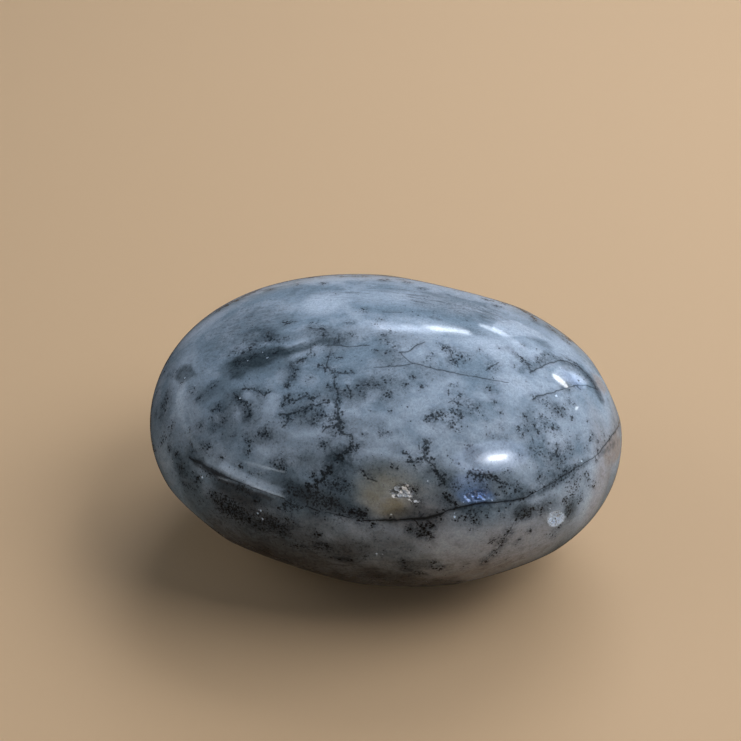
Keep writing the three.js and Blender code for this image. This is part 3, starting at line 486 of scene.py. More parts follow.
# Soft clouds: strength, along, girth, half length, half height and tilt, by kind.
CLOUDS = {
    # growths out of focus below the skin
    "deep": [
        (0.8, 0.2, 61.6, 2.2, 0.9), (0.5, -1.6, 53, 0.8, 0.8), (0.7, 8.8, 53, 1.4, 1, 10),
        (0.6, 10.9, 53.6, 1.1, 1.1), (0.6, 13, 57.8, 1.4, 0.8), (0.8, 22.6, 65, 2, 1.3),
        (0.6, 19.6, 53.4, 1.8, 1.6), (0.6, 14.8, 66.2, 1.6, 0.5), (0.25, -8.6, 52, 2, 1.4, 10),
        (0.5, -9.4, 64.5, 0.9, 2, -20), (0.7, -20.4, 52.4, 1.8, 1.4), (0.4, -26, 42, 1.8, 3),
        (0.8, -11, 41, 1, 1.2), (0.6, -18.6, 31, 1.6, 1.3), (0.6, -13, 34.5, 1.2, 2, -30),
        (0.6, -13.8, 45, 1, 1.4), (0.6, -8.6, 30.6, 1.2, 1), (0.7, 2.3, 76, 1, 0.8),
        (0.5, -7, 82, 1.6, 0.8), (0.6, 9.4, 75.2, 0.8, 1.2, -30), (0.8, 15.2, 30.6, 2.8, 1.3, -10),
        (0.8, 20.4, 14.4, 2, 1.4), (0.6, 9.4, 10, 1.8, 1.4), (0.6, 14.6, 16, 2.2, 1),
        (0.5, 9.4, 35.6, 1, 2, -25), (0.5, 27.6, 24, 1, 1.6), (0.7, 25.4, 9, 0.8, 1.8),
        (0.6, 18.6, 81.4, 1.2, 1.2), (0.3, 19.6, 99, 1.8, 1), (0.7, -6.8, 15.8, 1.4, 0.7),
        (0.25, 24.6, 46, 1.8, 1.6), (0.5, 1.6, 15, 2, 0.9), (0.4, -4.2, 31, 0.8, 0.5),
        (0.5, -3.8, 39, 0.6, 0.6), (0.6, 8, 21.4, 0.9, 1), (0.5, 16.4, 48, 1.8, 0.6, -6),
        (0.5, 0.6, 75, 1, 1.2), (0.4, -5.2, 71, 0.5, 1.6), (0.5, -19.4, 57, 1.2, 0.6),
        (0.5, -16.2, 83, 1, 0.6, 10), (0.5, -18.7, 101, 1.2, 0.4),
    ],
    # clear grey opal that lets the dark through
    "smoke": [
        (0.42, -17.6, 86, 8, 7, 6), (0.1, -27, 60, 3, 7), (0.1, -20, 42, 6, 6), (0.3, -21, 53, 2.6, 2),
        (0.3, -26, 42, 2.4, 4), (0.3, 0.2, 61.6, 2.6, 1.4, -4), (0.3, 11, 90, 3, 0.8),
        (0.55, 14.4, 25.4, 3.2, 1.8), (0.6, 15, 19, 4.4, 0.8, 4), (0.5, 20.4, 15, 2.4, 1.5),
        (0.6, 25.6, 7, 1.6, 2.4), (0.5, -2, 34.6, 1.6, 2.6, -38), (0.35, 9.6, 34, 1.2, 2.6, -28),
        (0.4, 11, 25, 2, 2.6), (0.7, -6, 21.6, 3, 1.8, -8), (0.7, -1.4, 24, 3.6, 2.6, -8),
        (0.7, 0.4, 17, 3.6, 1.6, -8), (0.3, 19, 99, 2.6, 1.2), (0.2, 24, 43, 2.4, 2),
        (0.2, 22.6, 65, 2.6, 1.8), (0.3, 7, 69, 3.4, 2.4), (0.25, -8, 52, 3, 2), (0.15, -18, 35, 5, 3),
        (0.4, 17, 30, 3, 2), (0.4, -6, 76, 3, 1), (0.3, -12, 78, 3, 1.2), (0.3, 19.4, 58, 1.2, 2.6),
        (0.2, -22, 14, 3.4, 3.4), (0.3, -12.6, 70, 3.4, 2.6, 8), (0.5, -17, 64, 3.2, 2.2),
        (0.35, -12, 42, 5, 2.6), (0.4, -9.8, 64, 2, 2.6), (0.45, -1.4, 38, 4, 2.6, -30),
        (0.35, -17, 48, 2.4, 2.4), (0.4, -16.4, 50, 1.8, 3.4), (0.65, -1.4, 32, 3, 2.2, -20),
        (0.4, -4.6, 36, 3.2, 2.6), (0.45, -7.4, 25, 2.6, 2.2), (0.35, 2.4, 34, 2.6, 1.8),
        (0.3, 8, 24, 2, 2), (0.55, -1, 57, 2, 2), (0.45, 2, 72, 2.4, 1.8), (0.3, -4, 80, 9, 2.2, 4),
        (0.3, 9.6, 31, 3, 2), (0.35, 19.4, 20, 2.6, 2.6), (0.6, 14, 40, 2, 1.6),
        (0.5, 11.4, 31.6, 1.8, 1.8), (0.4, 20, 24.6, 2, 1.4), (0.3, 17, 25, 1.6, 1.4),
        (0.4, -1, 32, 2.4, 1.6), (0.3, 5, 33, 5, 2), (0.6, -22, 16, 2.2, 1.8), (0.4, -14.6, 68, 3, 2.6),
        (0.35, -10, 39, 5, 1.6), (0.4, -5, 76, 3, 3), (0.25, -22, 28, 5, 3), (0.5, -6, 18, 6, 2.4),
        (0.4, -13, 68, 4, 3), (0.4, -15, 80, 4, 2), (0.4, -8, 32, 3, 2), (0.4, -7, 47, 3, 2),
        (0.35, 2, 48, 2, 1.4), (0.2, 2, 66, 6, 3), (0.3, 11, 22, 4, 2), (0.4, -4, 57, 3, 1.6),
        (0.3, -19, 40, 3, 1.4), (0.4, 5, 40.6, 1.4, 1), (0.4, -16, 17, 2, 1.4), (0.5, -1, 8, 1.8, 1.6),
        (0.4, 8.4, 8.6, 2, 1.6), (0.3, 23, 34, 2, 3), (0.4, -8.6, 24.6, 2.6, 1.6),
        (0.4, -5, 32.4, 2.4, 2), (0.4, -10, 15.6, 2, 1.4), (0.4, -20.6, 12, 3.2, 2.6),
        (0.4, -14.6, 71, 3.4, 1.4, 8), (0.3, 1.4, 42, 3, 1.4), (0.3, -8, 80, 4, 1.8),
        (0.4, 20, 16, 1.6, 1.2), (0.4, -17.6, 66, 2.2, 1.8), (0.4, -18.6, 56, 2.4, 1.8),
        (0.4, -13, 50, 1.6, 4), (0.4, -15.8, 40, 2.4, 2.4), (0.3, 2.4, 60, 4, 3),
        (0.75, -13.5, 16, 5, 1.7, -8), (0.5, 8.4, 17, 4, 1.3), (0.5, 23, 16.6, 2.4, 1.6),
        (0.4, -1, 47, 2.4, 1.6), (0.3, -6, 48, 2.4, 1.8), (0.3, 3.4, 80, 4, 1.8),
        (0.35, 23, 79, 1.4, 1.4), (0.5, -20, 25, 2.4, 1.6),
    ],
    # the brownish underside: partly the opal's own depth, partly painted shade and a painted reflection of
    # the brown board
    "umber_and_painted_shade": [
        (0.3, -12, 9, 4, 2.4, -12), (0.4, -20, 0, 3, 4), (0.6, 1, -24, 9, 4), (0.5, 5, -13, 6, 4),
        (0.25, -8, -10, 10, 5), (0.4, -11, -17, 4, 2), (0.55, -10, -18, 8, 4), (0.5, -3.6, 10, 2.6, 2),
        (0.4, 8, -9, 3, 1.6), (0.5, 5, 2, 4, 3), (0.5, 8, 14, 5, 2.4), (0.5, -3.5, 19, 4.6, 1.8, -8),
        (0.7, 0.4, -1, 3.6, 3.2), (0.3, 2.6, 12, 4, 2.2),
    ],
    # cloudy pale opal
    "milk_and_painted_reflection": [
        (0.6, -24, 50.4, 1, 2.6), (0.5, -7.4, 40.6, 3.4, 2.4, -6), (0.55, 2.6, 49, 5, 1.6, 6),
        (0.6, 6.4, 55, 3, 2, 6), (0.8, 17.4, 71, 4.2, 2.2, 6), (0.7, 13, 84, 6, 2, 4),
        (0.9, -8.4, 96, 4.2, 4), (0.75, 12.6, 3, 5, 3, 6), (0.8, 25.4, 23, 2.6, 1.8, 20),
        (0.6, 26.2, 62, 2.2, 3.6), (0.5, 4.8, 40.6, 4, 1.6), (0.7, 19, 37.4, 3.2, 1.4),
        (0.5, 15.6, 45, 3, 1.2), (0.4, -7, 61, 1.6, 1.2), (0.5, 22.4, 60, 1.4, 0.9),
        (0.5, 10, 66, 2.6, 1.2), (0.5, -3.4, 90, 1.4, 1.4), (0.5, 14, 62.6, 2.4, 0.9),
        (0.5, 22, 53.4, 1.4, 0.9), (0.4, 28.6, 32, 1.6, 2.2), (0.5, -10.6, 62, 1.2, 1.6),
        (0.35, -12, 44, 1.4, 1.2), (0.3, -24, 46, 6, 9), (0.6, 20, -3, 6, 6), (0.75, 28.4, 16, 3.2, 8),
        (0.4, 15, -9, 6, 3), (0.5, -2.4, 101, 6, 3), (0.5, 22, 100, 3, 6), (0.6, 27.6, 36, 3, 4),
        (0.4, 20, 106, 7, 3.4), (0.5, 16, 84, 4, 3), (0.5, 17, 64, 2.2, 1.6), (0.7, 8.6, 48, 3, 1.6),
        (0.9, 23, 49, 2.2, 2.2), (0.5, 27, -10, 4, 6), (0.95, 22, -13, 5, 4.6), (0.4, 23, 97, 2, 2),
        (0.85, 20, -3, 3, 4.4), (0.6, 24, 49, 2, 2), (0.6, 28.6, 22, 2, 4), (0.4, 15, 0, 4, 3),
        (0.7, 19.6, 89, 2.4, 2), (0.7, -0.6, 40.8, 2.4, 1.4), (0.5, 3, 64.6, 3, 1.4),
        (0.5, 14, 88, 4, 3), (0.5, -25, 66, 3, 5), (0.4, 18, -12, 5, 5), (0.5, 28, -6, 3, 5),
        (0.5, -19, 22, 3, 1), (0.5, -16, 80, 1.4, 1), (0.5, 4, 102, 6, 3), (0.4, -22, 32, 2.4, 1),
        (0.6, 29, 22, 2, 3), (0.4, -10, -2, 2.4, 1.4), (0.4, -13, 9, 3, 1.4), (0.6, 20, 81, 1.6, 1.4),
        (0.4, 3, 105, 5, 2.4), (0.3, 17, 33, 1.6, 1.2), (0.5, 18, 92, 3, 3), (0.5, 15.6, 78, 2.4, 1.4),
        (0.4, -4, 23.4, 1.6, 1), (0.4, 19.4, 34, 4, 3),
    ],
    # the stone's warmer foot, ends and far side: partly a warmer grey of the opal, partly a painted
    # reflection of the warm board along the right end and foot
    "warm_grey_and_painted_board_reflection": [
        (0.25, 4, 2, 16, 7), (0.4, 20, -8, 12, 5), (0.6, 16, -28, 16, 6), (0.6, -8, -26, 16, 8),
        (0.5, 29, 20, 3, 11), (0.15, 10, 108, 14, 5), (0.5, 9, 22, 6, 2.6), (0.4, 30, 70, 3, 10),
        (0.5, 8, 17, 5, 2.4), (0.35, 8, -16, 12, 5), (0.4, 20, 4, 7, 4), (0.3, 12, 5, 8, 5),
        (0.5, 13, -22, 12, 5),
    ],
    # the warm patch round the drusy pocket, and its browner foot
    "cream": [
        (0.9, 4.4, 25, 5.4, 4.6), (0.3, 8, 30, 5, 3),
    ],
    "ochre": [
        (0.9, 5.4, 18, 2, 1.9), (0.3, 3.4, 21, 2.4, 2.2),
    ],
    # where the light scatters blue
    "blue": [
        (0.9, 14.8, 23.8, 2.8, 1.3), (0.3, 23.6, 86, 2.4, 1.2, -12), (0.5, 14, 28, 3, 2.4),
    ],
    # black specks strewn thickly
    "stipple": [
        (1, -3, 19, 3.4, 1.7, -8), (0.9, 1.2, 15.6, 2.2, 1.1, -6), (0.8, -6.6, 15.6, 1.8, 0.9),
        (0.9, -14.5, 6, 4.4, 2.6, -10), (0.8, -9, 5, 3.6, 2.4, -10), (0.7, -17.6, 19.4, 3, 0.9, -8),
        (0.8, -13, 17.2, 2.6, 0.7, -6), (0.6, -3, -1.6, 2.6, 1, -10), (0.8, 20.4, 13.4, 1.5, 1),
        (0.7, 14.6, 16.4, 1.8, 1.1), (0.6, 25.3, 8, 0.8, 1.8), (0.5, -15.2, 72.6, 2.6, 1.1, 10),
        (0.5, 9.4, 10, 1.6, 1.4), (0.5, 24.8, 15.4, 1, 0.8), (0.4, -6.6, 22, 1.6, 1),
        (0.4, 19.6, 53.4, 1.4, 1), (0.1, -9, 53, 1.8, 1.4), (0.4, 23.2, 29.4, 1.4, 0.7, 35),
        (0.5, 22, 64, 2.6, 1.8), (0.4, 24, 50, 2.4, 2.4), (0.35, 13, 56, 1.6, 1.2),
        (0.3, 13, 27.6, 3, 1.4), (0.35, 9.4, 54, 1.6, 0.8, 10), (0.4, -20, 8, 3, 2.6),
        (0.5, -1, 25, 2.4, 1.4), (0.3, -17.6, 84, 3, 2), (0.35, 18.4, 81, 1, 1),
    ],
    # fine dark hatching drawn out along the stone
    "hatch": [
        (1, 8, 104, 9, 4), (0.7, -4, 104, 12, 4), (0.7, -17, 88, 8, 6, 8), (0.5, -22, 70, 5, 4),
        (0.8, -12, -4, 14, 6, -6), (0.8, 5, -12, 14, 4), (0.6, 18, -14, 8, 4), (0.5, 23, 98, 5, 3),
    ],
}

WANDER = 0.12  # mm that a growth strays from its route
BENDS = 0.9, 3  # how many bends to the mm that wander has, coarse and fine
MARK_STEP = 0.13  # mm between the marks that draw a stem
FAR = 1.3  # mm past which a mark no longer matters
HAZE_ONLY = -0.4  # half width of a mark that only darkens the opal round it
CHANNELS = 6  # how many lines may run close by each other
LINE_REACH = 0.42  # mm round a line that the skin has to know of it
FAINTNESS = 0.3  # mm that a faint mark's edge is put off
HAZE_REACH = 0.55  # mm that the dark round a growth spreads
HAZE_BUILD = 0.1  # how fast that dark builds up where marks crowd
GIRTH_MM = 0.35  # mm to a degree of girth at the stone's middle
OVAL_REACH = 1.05  # half lengths round an oval's middle that keep it to its side of the stone
EDGE_WANDER = 0.3  # mm that a patch's edge strays
EDGE_BENDS = 0.8  # how many bends to the mm that edge has
PEPPER_SPREAD, PEPPER_RIM = 1.5, 0.3  # pepper's oval beside its colony's, and mm more
TWIG_BEND = 16  # degrees, the usual turn of a twig at each step
TWIG_TAPER = 0.5  # share of its width that a twig loses by its end
TWIG_RATE = 1.8  # twigs to the mm for each of a stem's fullness
SHORT_TWIG = 0.5  # mm, up to which a twig is a row of beads
FINER_FROM = 12  # mm along, past which the grains are finer and bear no twigs
BOLD_FULL, BOLD_NONE = 14, 48  # degrees of girth between which growths pale towards the crown

# The far side, the underside and the left end carry growths of the same kinds at random.
FAR_GIRTHS = (118, 325)
FAR_STEMS = 46
FAR_COLONIES = 420
FAR_CLOUDS = {"smoke": 26, "milk_and_painted_reflection": 16, "warm_grey_and_painted_board_reflection": 10, "stipple": 24}
LEFT_END_COLONIES = 70
LONE_GRAINS = 6000  # places tried, over the whole stone


def smooth_route(route):
    """Points MARK_STEP or so apart on a Catmull-Rom curve through a route's points."""
    ends = [route[0], *route, route[-1]]
    points = []
    for before, start, end, after in zip(ends, ends[1:], ends[2:], ends[3:]):
        gap = np.linalg.norm(on_skin(spot(*start[:2])) - on_skin(spot(*end[:2])))
        count = max(2, round(gap / MARK_STEP))
        corners = list(zip(before, start, end, after))
        for t in np.arange(count) / count:
            points.append(tuple(
                0.5 * (2 * b + (c - a) * t + (2 * a - 5 * b + 4 * c - d) * t**2
                       + (3 * b - a - 3 * c + d) * t**3)
                for a, b, c, d in corners
            ))
    return points + [route[-1]]


def strayed(place, amount):
    """A place moved by a smooth wander, so that no growth runs true."""
    coarse, fine = (np.array(noise.noise_vector(place * bends)) for bends in BENDS)
    return place + amount * (coarse + fine / 2)


def skin_axes(direction):
    """Outward, along-the-stone and over-the-girth unit vectors of the skin at a direction."""
    outward = outward_at(direction)
    along = np.array([1.0, 0, 0]) - outward * outward[0]
    along = along / np.linalg.norm(along)
    return outward, along, np.cross(outward, along)


def heading_to(here, ahead):
    """The unit heading from one direction's point on the skin to the next one's."""
    heading = (ahead - here) * STRETCH
    return heading / np.linalg.norm(heading)


def step(direction, heading, distance):
    """Walks a direction over the skin by mm along a unit heading, which stays tangent."""
    moved = direction + heading * distance / STRETCH
    moved = moved / np.linalg.norm(moved)
    outward = outward_at(moved)
    heading = heading - outward * (heading @ outward)
    return moved, heading / np.linalg.norm(heading)


def turned(direction, heading, degrees):
    """A heading turned about the skin's outward normal."""
    angle = math.radians(degrees)
    return heading * math.cos(angle) + np.cross(outward_at(direction), heading) * math.sin(angle)


def grow(draw, growth, direction, heading, length, width, forks, strength):
    """A twig that wanders over the skin, forks and ends in a bud."""
    walked, side, fork_at = 0.0, draw.choice((-1, 1)), draw.uniform(0.15, 0.4)
    line = [(direction, width)]
    while walked < length:
        direction, heading = step(direction, heading, MARK_STEP)
        heading = turned(direction, heading, draw.gauss(0, TWIG_BEND))
        walked += MARK_STEP
        line.append((direction, width * (1 - TWIG_TAPER * min(walked / length, 1))))
        growth["marks"].append((direction, width * draw.uniform(0.6, 2.2), strength))
        if forks and walked > fork_at:
            fork = turned(direction, heading, side * draw.uniform(35, 80))
            left = (length - walked * 0.5) * draw.uniform(0.4, 0.7)
            fainter = strength * draw.uniform(0.7, 1)
            grow(draw, growth, direction, fork, left, width * 0.8, forks - 1, fainter)
            side, fork_at = -side, walked + draw.uniform(0.25, 0.6)
    if length > SHORT_TWIG:
        growth["lines"].append(line)
    growth["marks"].append((direction, width * draw.uniform(1.8, 3.2), strength))


def grow_stem(draw, growth, width, twig, fullness, route):
    """A stem along a route, with beads on it and twigs to either side."""
    directions = [spot(*pair) for pair in smooth_route(route)]
    growth["lines"].append([(direction, width * draw.uniform(0.4, 0.9)) for direction in directions])
    for here, ahead in zip(directions, directions[1:]):
        bead = draw.choice((HAZE_ONLY, width, 1.4 * width, 2 * width))
        growth["marks"].append((here, bead, draw.uniform(0.75, 1.1)))
        if draw.random() < fullness * MARK_STEP * TWIG_RATE:
            lean = draw.choice((-1, 1)) * draw.uniform(45, 95)
            fork = turned(here, heading_to(here, ahead), lean)
            strength = draw.uniform(0.6, 1)
            length = twig * draw.uniform(0.4, 1.2)
            grow(draw, growth, here, fork, length, width * 0.7, draw.choice((0, 1)), strength)


def scatter_colony(draw, growth, along, girth, half_length, half_height, fullness, tilt=0):
    """Grains strewn over an oval of the skin, thickest in its middle, some with a short twig:
    three for each of its fullness, or four of the finer ones."""
    middle = spot(along, girth)
    _, across, rise = skin_axes(middle)
    tilt = math.radians(tilt)
    finer = along > FINER_FROM
    for _ in range((4 if finer else 3) * fullness):
        radius, angle = math.sqrt(draw.random()) * draw.uniform(0.5, 1), draw.uniform(0, 2 * math.pi)
        u, w = half_length * radius * math.cos(angle), half_height * radius * math.sin(angle)
        u, w = u * math.cos(tilt) - w * math.sin(tilt), u * math.sin(tilt) + w * math.cos(tilt)
        direction = middle + (across * u + rise * w) / STRETCH
        direction = direction / np.linalg.norm(direction)
        strength = draw.uniform(0.4, 1) ** 0.7
        growth["marks"].append((direction, draw.uniform(0.02, 0.16 if finer else 0.21), strength))
        for _ in range(0 if finer else draw.choice((0, 0, 0, 1))):
            heading = turned(direction, across, draw.uniform(0, 360))
            length, width = draw.uniform(0.1, 0.35), draw.uniform(0.03, 0.07)
            grow(draw, growth, direction, heading, length, width, 0, strength)


def grow_crack(draw, growth, fuzz, route):
    """A crack's line, and the growth that clings to it."""
    line = [(spot(*point[:2]), point[2]) for point in smooth_route(route)]
    growth["lines"].append(line)
    for (here, width), (ahead, _) in zip(line, line[1:]):
        growth["marks"].append((here, HAZE_ONLY, 0.5))
        if draw.random() < fuzz * 0.5:
            growth["marks"].append((here, draw.uniform(0.02, 0.12), draw.uniform(0.5, 1)))
            if draw.random() < 0.3:
                lean = draw.choice((-1, 1)) * draw.uniform(40, 100)
                fork = turned(here, heading_to(here, ahead), lean)
                grow(draw, growth, here, fork, draw.uniform(0.2, 0.6), 0.05, 1, draw.uniform(0.5, 1))


def grow_far_side(draw, growth, clouds):
    """Stems, colonies and clouds at random where the front's own growths leave off."""
    for _ in range(FAR_STEMS):
        along, girth = draw.uniform(-26, 26), draw.uniform(*FAR_GIRTHS)
        route = [(along, girth)]
        lean = draw.uniform(0, 2 * math.pi)
        for _ in range(draw.randint(3, 7)):
            lean += draw.gauss(0, 0.45)
            along = max(-28.5, min(28.5, along + 1.1 * math.cos(lean)))
            girth += 3.2 * math.sin(lean)
            route.append((along, girth))
        width, twig, fullness = draw.uniform(0.08, 0.16), draw.uniform(0.4, 0.9), draw.uniform(1.5, 3)
        grow_stem(draw, growth, width, twig, fullness, route)
        clouds["deep"].append((draw.uniform(0.4, 0.9), *route[len(route) // 2], draw.uniform(1, 3),
                               draw.uniform(0.8, 2), draw.uniform(-40, 40)))
    for _ in range(FAR_COLONIES):
        place = draw.uniform(-28, 28), draw.uniform(112, 330)
        halves = draw.uniform(0.3, 1.4), draw.uniform(0.2, 0.9)
        scatter_colony(draw, growth, *place, *halves, draw.randint(3, 14), draw.uniform(-40, 40))
    for _ in range(LEFT_END_COLONIES):
        place = draw.uniform(-30.6, -25.5), draw.uniform(-180, 180)
        halves = draw.uniform(0.3, 1), draw.uniform(0.2, 0.7)
        scatter_colony(draw, growth, *place, *halves, draw.randint(2, 7), draw.uniform(-40, 40))
    for kind, count in FAR_CLOUDS.items():
        for _ in range(count):
            clouds[kind].append((draw.uniform(0.3, 0.8), draw.uniform(-24, 24), draw.uniform(*FAR_GIRTHS),
                                 draw.uniform(2, 6), draw.uniform(1, 4), draw.uniform(-30, 30)))


def strew_lone_grains(draw, growth):
    """Single grains all over, more in some places than in others."""
    for _ in range(LONE_GRAINS):
        lone = spot(draw.uniform(-30, 30), draw.uniform(-180, 180))
        if draw.random() < 0.25 + 1.8 * noise.noise(Vector(on_skin(lone)) * 0.3):
            growth["marks"].append((lone, draw.uniform(0.03, 0.14), draw.uniform(0.5, 1)))


def growth_fields(marks):
    """For each grid point, mm to the edge of the nearest mark, no more than FAR and put off where
    that mark is faint, and how much the marks crowd round it."""
    gaps, crowd = np.full(len(places), FAR), np.zeros(len(places))
    centres = skin_places(np.array([direction for direction, _, _ in marks]), planes, LIFT)
    for centre, (_, width, strength) in zip(centres, marks):
        for _, index, gap in tree.find_range(strayed(centre, WANDER), FAR + width):
            gaps[index] = min(gaps[index], gap - width + FAINTNESS * (1 - strength))
            crowd[index] += strength * math.exp(-((gap / HAZE_REACH) ** 2))
    return gaps, 1 - np.exp(-HAZE_BUILD * crowd)


def line_fields(lines):
    """Each grid point's signed distance to the lines near it in half widths, and mm to their
    edge, in channels: lines that come near each other go to different ones, and a line that finds
    none free is left to its marks."""
    side, gaps = np.full((CHANNELS, len(places)), FAR), np.full((CHANNELS, len(places)), FAR)
    for line in lines:
        centres = [strayed(on_skin(direction), WANDER) for direction, _ in line]
        found = {}
        for number, (centre, (direction, width)) in enumerate(zip(centres, line)):
            before, after = centres[max(number - 1, 0)], centres[min(number + 1, len(centres) - 1)]
            heading = (after - before) / np.linalg.norm(after - before)
            left = np.cross(outward_at(direction), heading)
            for co, index, gap in tree.find_range(centre, LINE_REACH + 4 * width):
                if gap < found.get(index, (FAR + 1,))[0]:
                    found[index] = (gap, (np.array(co) - centre) @ left / width, width)
        near = list(found)
        for channel in range(CHANNELS):
            if (gaps[channel, near] == FAR).all():
                for index, (gap, across, width) in found.items():
                    gaps[channel, index], side[channel, index] = gap - width, across
                break
    return side, gaps


def eased(share):
    """A share from 0 to 1 that starts and ends softly."""
    share = np.clip(share, 0, 1)
    return share * share * (3 - 2 * share)


def cloud_field(along, girth, half_length, half_height, tilt=0):
    """How deep each grid point lies in an oval on this side of the stone, from 0 at its rim to 1
    in its middle."""
    direction = spot(along, girth)
    _, across, rise = skin_axes(direction)
    offsets = places - on_skin(direction)
    tilt = math.radians(tilt)
    u, w = offsets @ across, offsets @ rise
    u, w = u * math.cos(tilt) + w * math.sin(tilt), w * math.cos(tilt) - u * math.sin(tilt)
    inside = eased(1 - (u / half_length) ** 2 - (w / half_height) ** 2)
    near = np.linalg.norm(offsets, axis=1) < OVAL_REACH * max(half_length, half_height)
    return np.where(near, inside, 0)


def streak_field(half_width, route):
    """How near each grid point lies to a route on the skin, from 0 at the half width to 1."""
    field = np.zeros(len(places))
    for pair in smooth_route(route)[::2]:
        for _, index, gap in tree.find_range(strayed(on_skin(spot(*pair)), WANDER), half_width):
            field[index] = max(field[index], 1 - (gap / half_width) ** 2)
    return eased(field)


def laid_flat(along, girth):
    """Where (along, girth) lies, in mm, on the skin rolled out flat."""
    return np.stack([along, girth * GIRTH_MM * np.sqrt(1 - (along / HALF_LENGTH) ** 2)], 1)


def patch_field(fade, outline):
    """How far each grid point lies inside an outline, from 0 to 1 over an edge fade mm wide."""
    corners = laid_flat(*np.array(outline, float).T)
    inside, nearest = np.zeros(len(places), bool), np.full(len(places), np.inf)
    for start, end in zip(corners, np.roll(corners, -1, 0)):
        run, offsets = end - start, rolled_out - start
        share = np.clip(offsets @ run / (run @ run), 0, 1)
        nearest = np.minimum(nearest, np.linalg.norm(offsets - np.outer(share, run), axis=1))
        level = (start[1] > rolled_out[:, 1]) != (end[1] > rolled_out[:, 1])
        inside ^= level & (offsets[:, 0] < offsets[:, 1] * run[0] / (run[1] or 1))
    return eased(0.5 + np.where(inside, nearest, -nearest) / fade)


def tint_field(kind, clouds):
    """How strongly a kind of tint colours each grid point, through all that carry it."""
    clear = np.ones(len(places))
    for field, carriers in ((cloud_field, clouds), (patch_field, PATCHES), (streak_field, STREAKS)):
        for strength, *carrier in carriers.get(kind, ()):
            clear *= 1 - strength * field(*carrier)
    return 1 - clear


tree = kdtree.KDTree(len(places))
for number, place in enumerate(places):
    tree.insert(place, number)
tree.balance()

noise.seed_set(41)  # or the growths' wander would change from run to run
draw = random.Random(41)
growth = {"marks": [], "lines": []}
clouds = {kind: list(entries) for kind, entries in CLOUDS.items()}
for crack in CRACKS:
    grow_crack(draw, growth, *crack)
for stem in STEMS:
    grow_stem(draw, growth, *stem)
for colony in COLONIES:
    scatter_colony(draw, growth, *colony)
grow_far_side(draw, growth, clouds)
strew_lone_grains(draw, growth)

dendrite_gap, crowd = growth_fields(growth["marks"])
line_side, line_gap = line_fields(growth["lines"])

pepper = np.zeros(len(places))
for along, girth, half_length, half_height, _, *tilt in COLONIES:
    halves = (half * PEPPER_SPREAD + PEPPER_RIM for half in (half_length, half_height))
    pepper = np.maximum(pepper, cloud_field(along, girth, *halves, *tilt))

drusy = np.full(len(places), -FAR)
for along, girth, half_size in DRUSY_AND_GLINTS:
    for _, index, gap in tree.find_range(on_skin(spot(along, girth)), half_size + FAR):
        drusy[index] = max(drusy[index], half_size - gap)

along_all, girth_all = HALF_LENGTH * grid[:, 0], np.degrees(np.arctan2(grid[:, 2], -grid[:, 1]))
rolled_out = laid_flat(along_all, girth_all)
rolled_out += EDGE_WANDER * np.array([noise.noise_vector(place * EDGE_BENDS)[:2] for place in places])
tints = {kind: tint_field(kind, clouds) for kind in {**CLOUDS, **PATCHES, **STREAKS}}

# Growths are boldest where the front turns under, and greyer over the crown.
bold = eased((BOLD_NONE - girth_all) / (BOLD_NONE - BOLD_FULL))

# ---------------------------------------------------------------------------------------------
# The stone
# ---------------------------------------------------------------------------------------------


def cut_pits():
    """Draws the skin in at each open pit. Gives how far inside a pit each grid point lies: 1 at
    its rim and more towards its middle."""
    depths = np.zeros(len(places))
    for around, above, along, across, deepest in PITS.values():
        direction = facing(around, above)
        seat, outward = on_skin(direction), outward_at(direction)
        girth = np.cross((0, 0, 1), outward)
        girth = girth / np.linalg.norm(girth)
        rise = np.cross(outward, girth)
        for co, index, _ in tree.find_range(seat, max(along, across)):
            offset = np.array(co) - seat
            lump = 1 + PIT_LUMP * noise.noise(Vector(offset) * 1.6 + Vector((around, above, 0)))
            spread = math.hypot(offset @ girth / along * 2, offset @ rise / across * 2) / lump
            if spread < 1:
                crystals = 1 - PIT_ROUGHNESS + PIT_ROUGHNESS * noise.noise(Vector(co) * 4)
                places[index] -= outward * deepest * crystals * math.sqrt(1 - spread)
            depths[index] = max(depths[index], 1 + PIT_LINING - spread)
    return depths


pit_depth = cut_pits()
for vertex, place in zip(stone_mesh.verts, places):
    vertex.co = place * MM
for face in stone_mesh.faces:
    face.smooth = True
stone_data = bpy.data.meshes.new("dendritic_opal_stone")
stone_mesh.to_mesh(stone_data)
stone_mesh.free()

# What the skin knows of its growths and tints, for the material to read.
FIELDS = {
    "dendrite gap": dendrite_gap,
    "crowd": crowd,
    "pepper": pepper,
    "line side 1": line_side[:3].T,
    "line side 2": line_side[3:].T,
    "line gap 1": line_gap[:3].T,
    "line gap 2": line_gap[3:].T,
    "drusy": drusy,
    "pit": pit_depth,
    "bold": bold,
    **tints,
}
for name, field in FIELDS.items():
    kind, slot = ("FLOAT", "value") if field.ndim == 1 else ("FLOAT_VECTOR", "vector")
    layer = stone_data.attributes.new(name, kind, "POINT")
    layer.data.foreach_set(slot, field.astype(np.float32).ravel())
stone = bpy.data.objects.new("dendritic_opal_stone", stone_data)
bpy.context.scene.collection.objects.link(stone)
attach(stone, "root")
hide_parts("dendritic_opal")

# ---------------------------------------------------------------------------------------------
# Materials
# ---------------------------------------------------------------------------------------------

MATH, RAMP, MIX = "ShaderNodeMath", "ShaderNodeMapRange", "ShaderNodeMix"
NOISE, CELLS = "ShaderNodeTexNoise", "ShaderNodeTexVoronoi"
TIMES, PLUS, LESS = {"operation": "MULTIPLY"}, {"operation": "ADD"}, {"operation": "SUBTRACT"}
TIMES_PLUS, MOST = {"operation": "MULTIPLY_ADD"}, {"operation": "MAXIMUM"}
SMOOTH, COLOURS = {"interpolation_type": "SMOOTHSTEP"}, {"data_type": "RGBA", "output": 2}
SHARE, UNDER, OVER = 0, 6, 7  # a colour mix's inputs: how much of the second covers the first

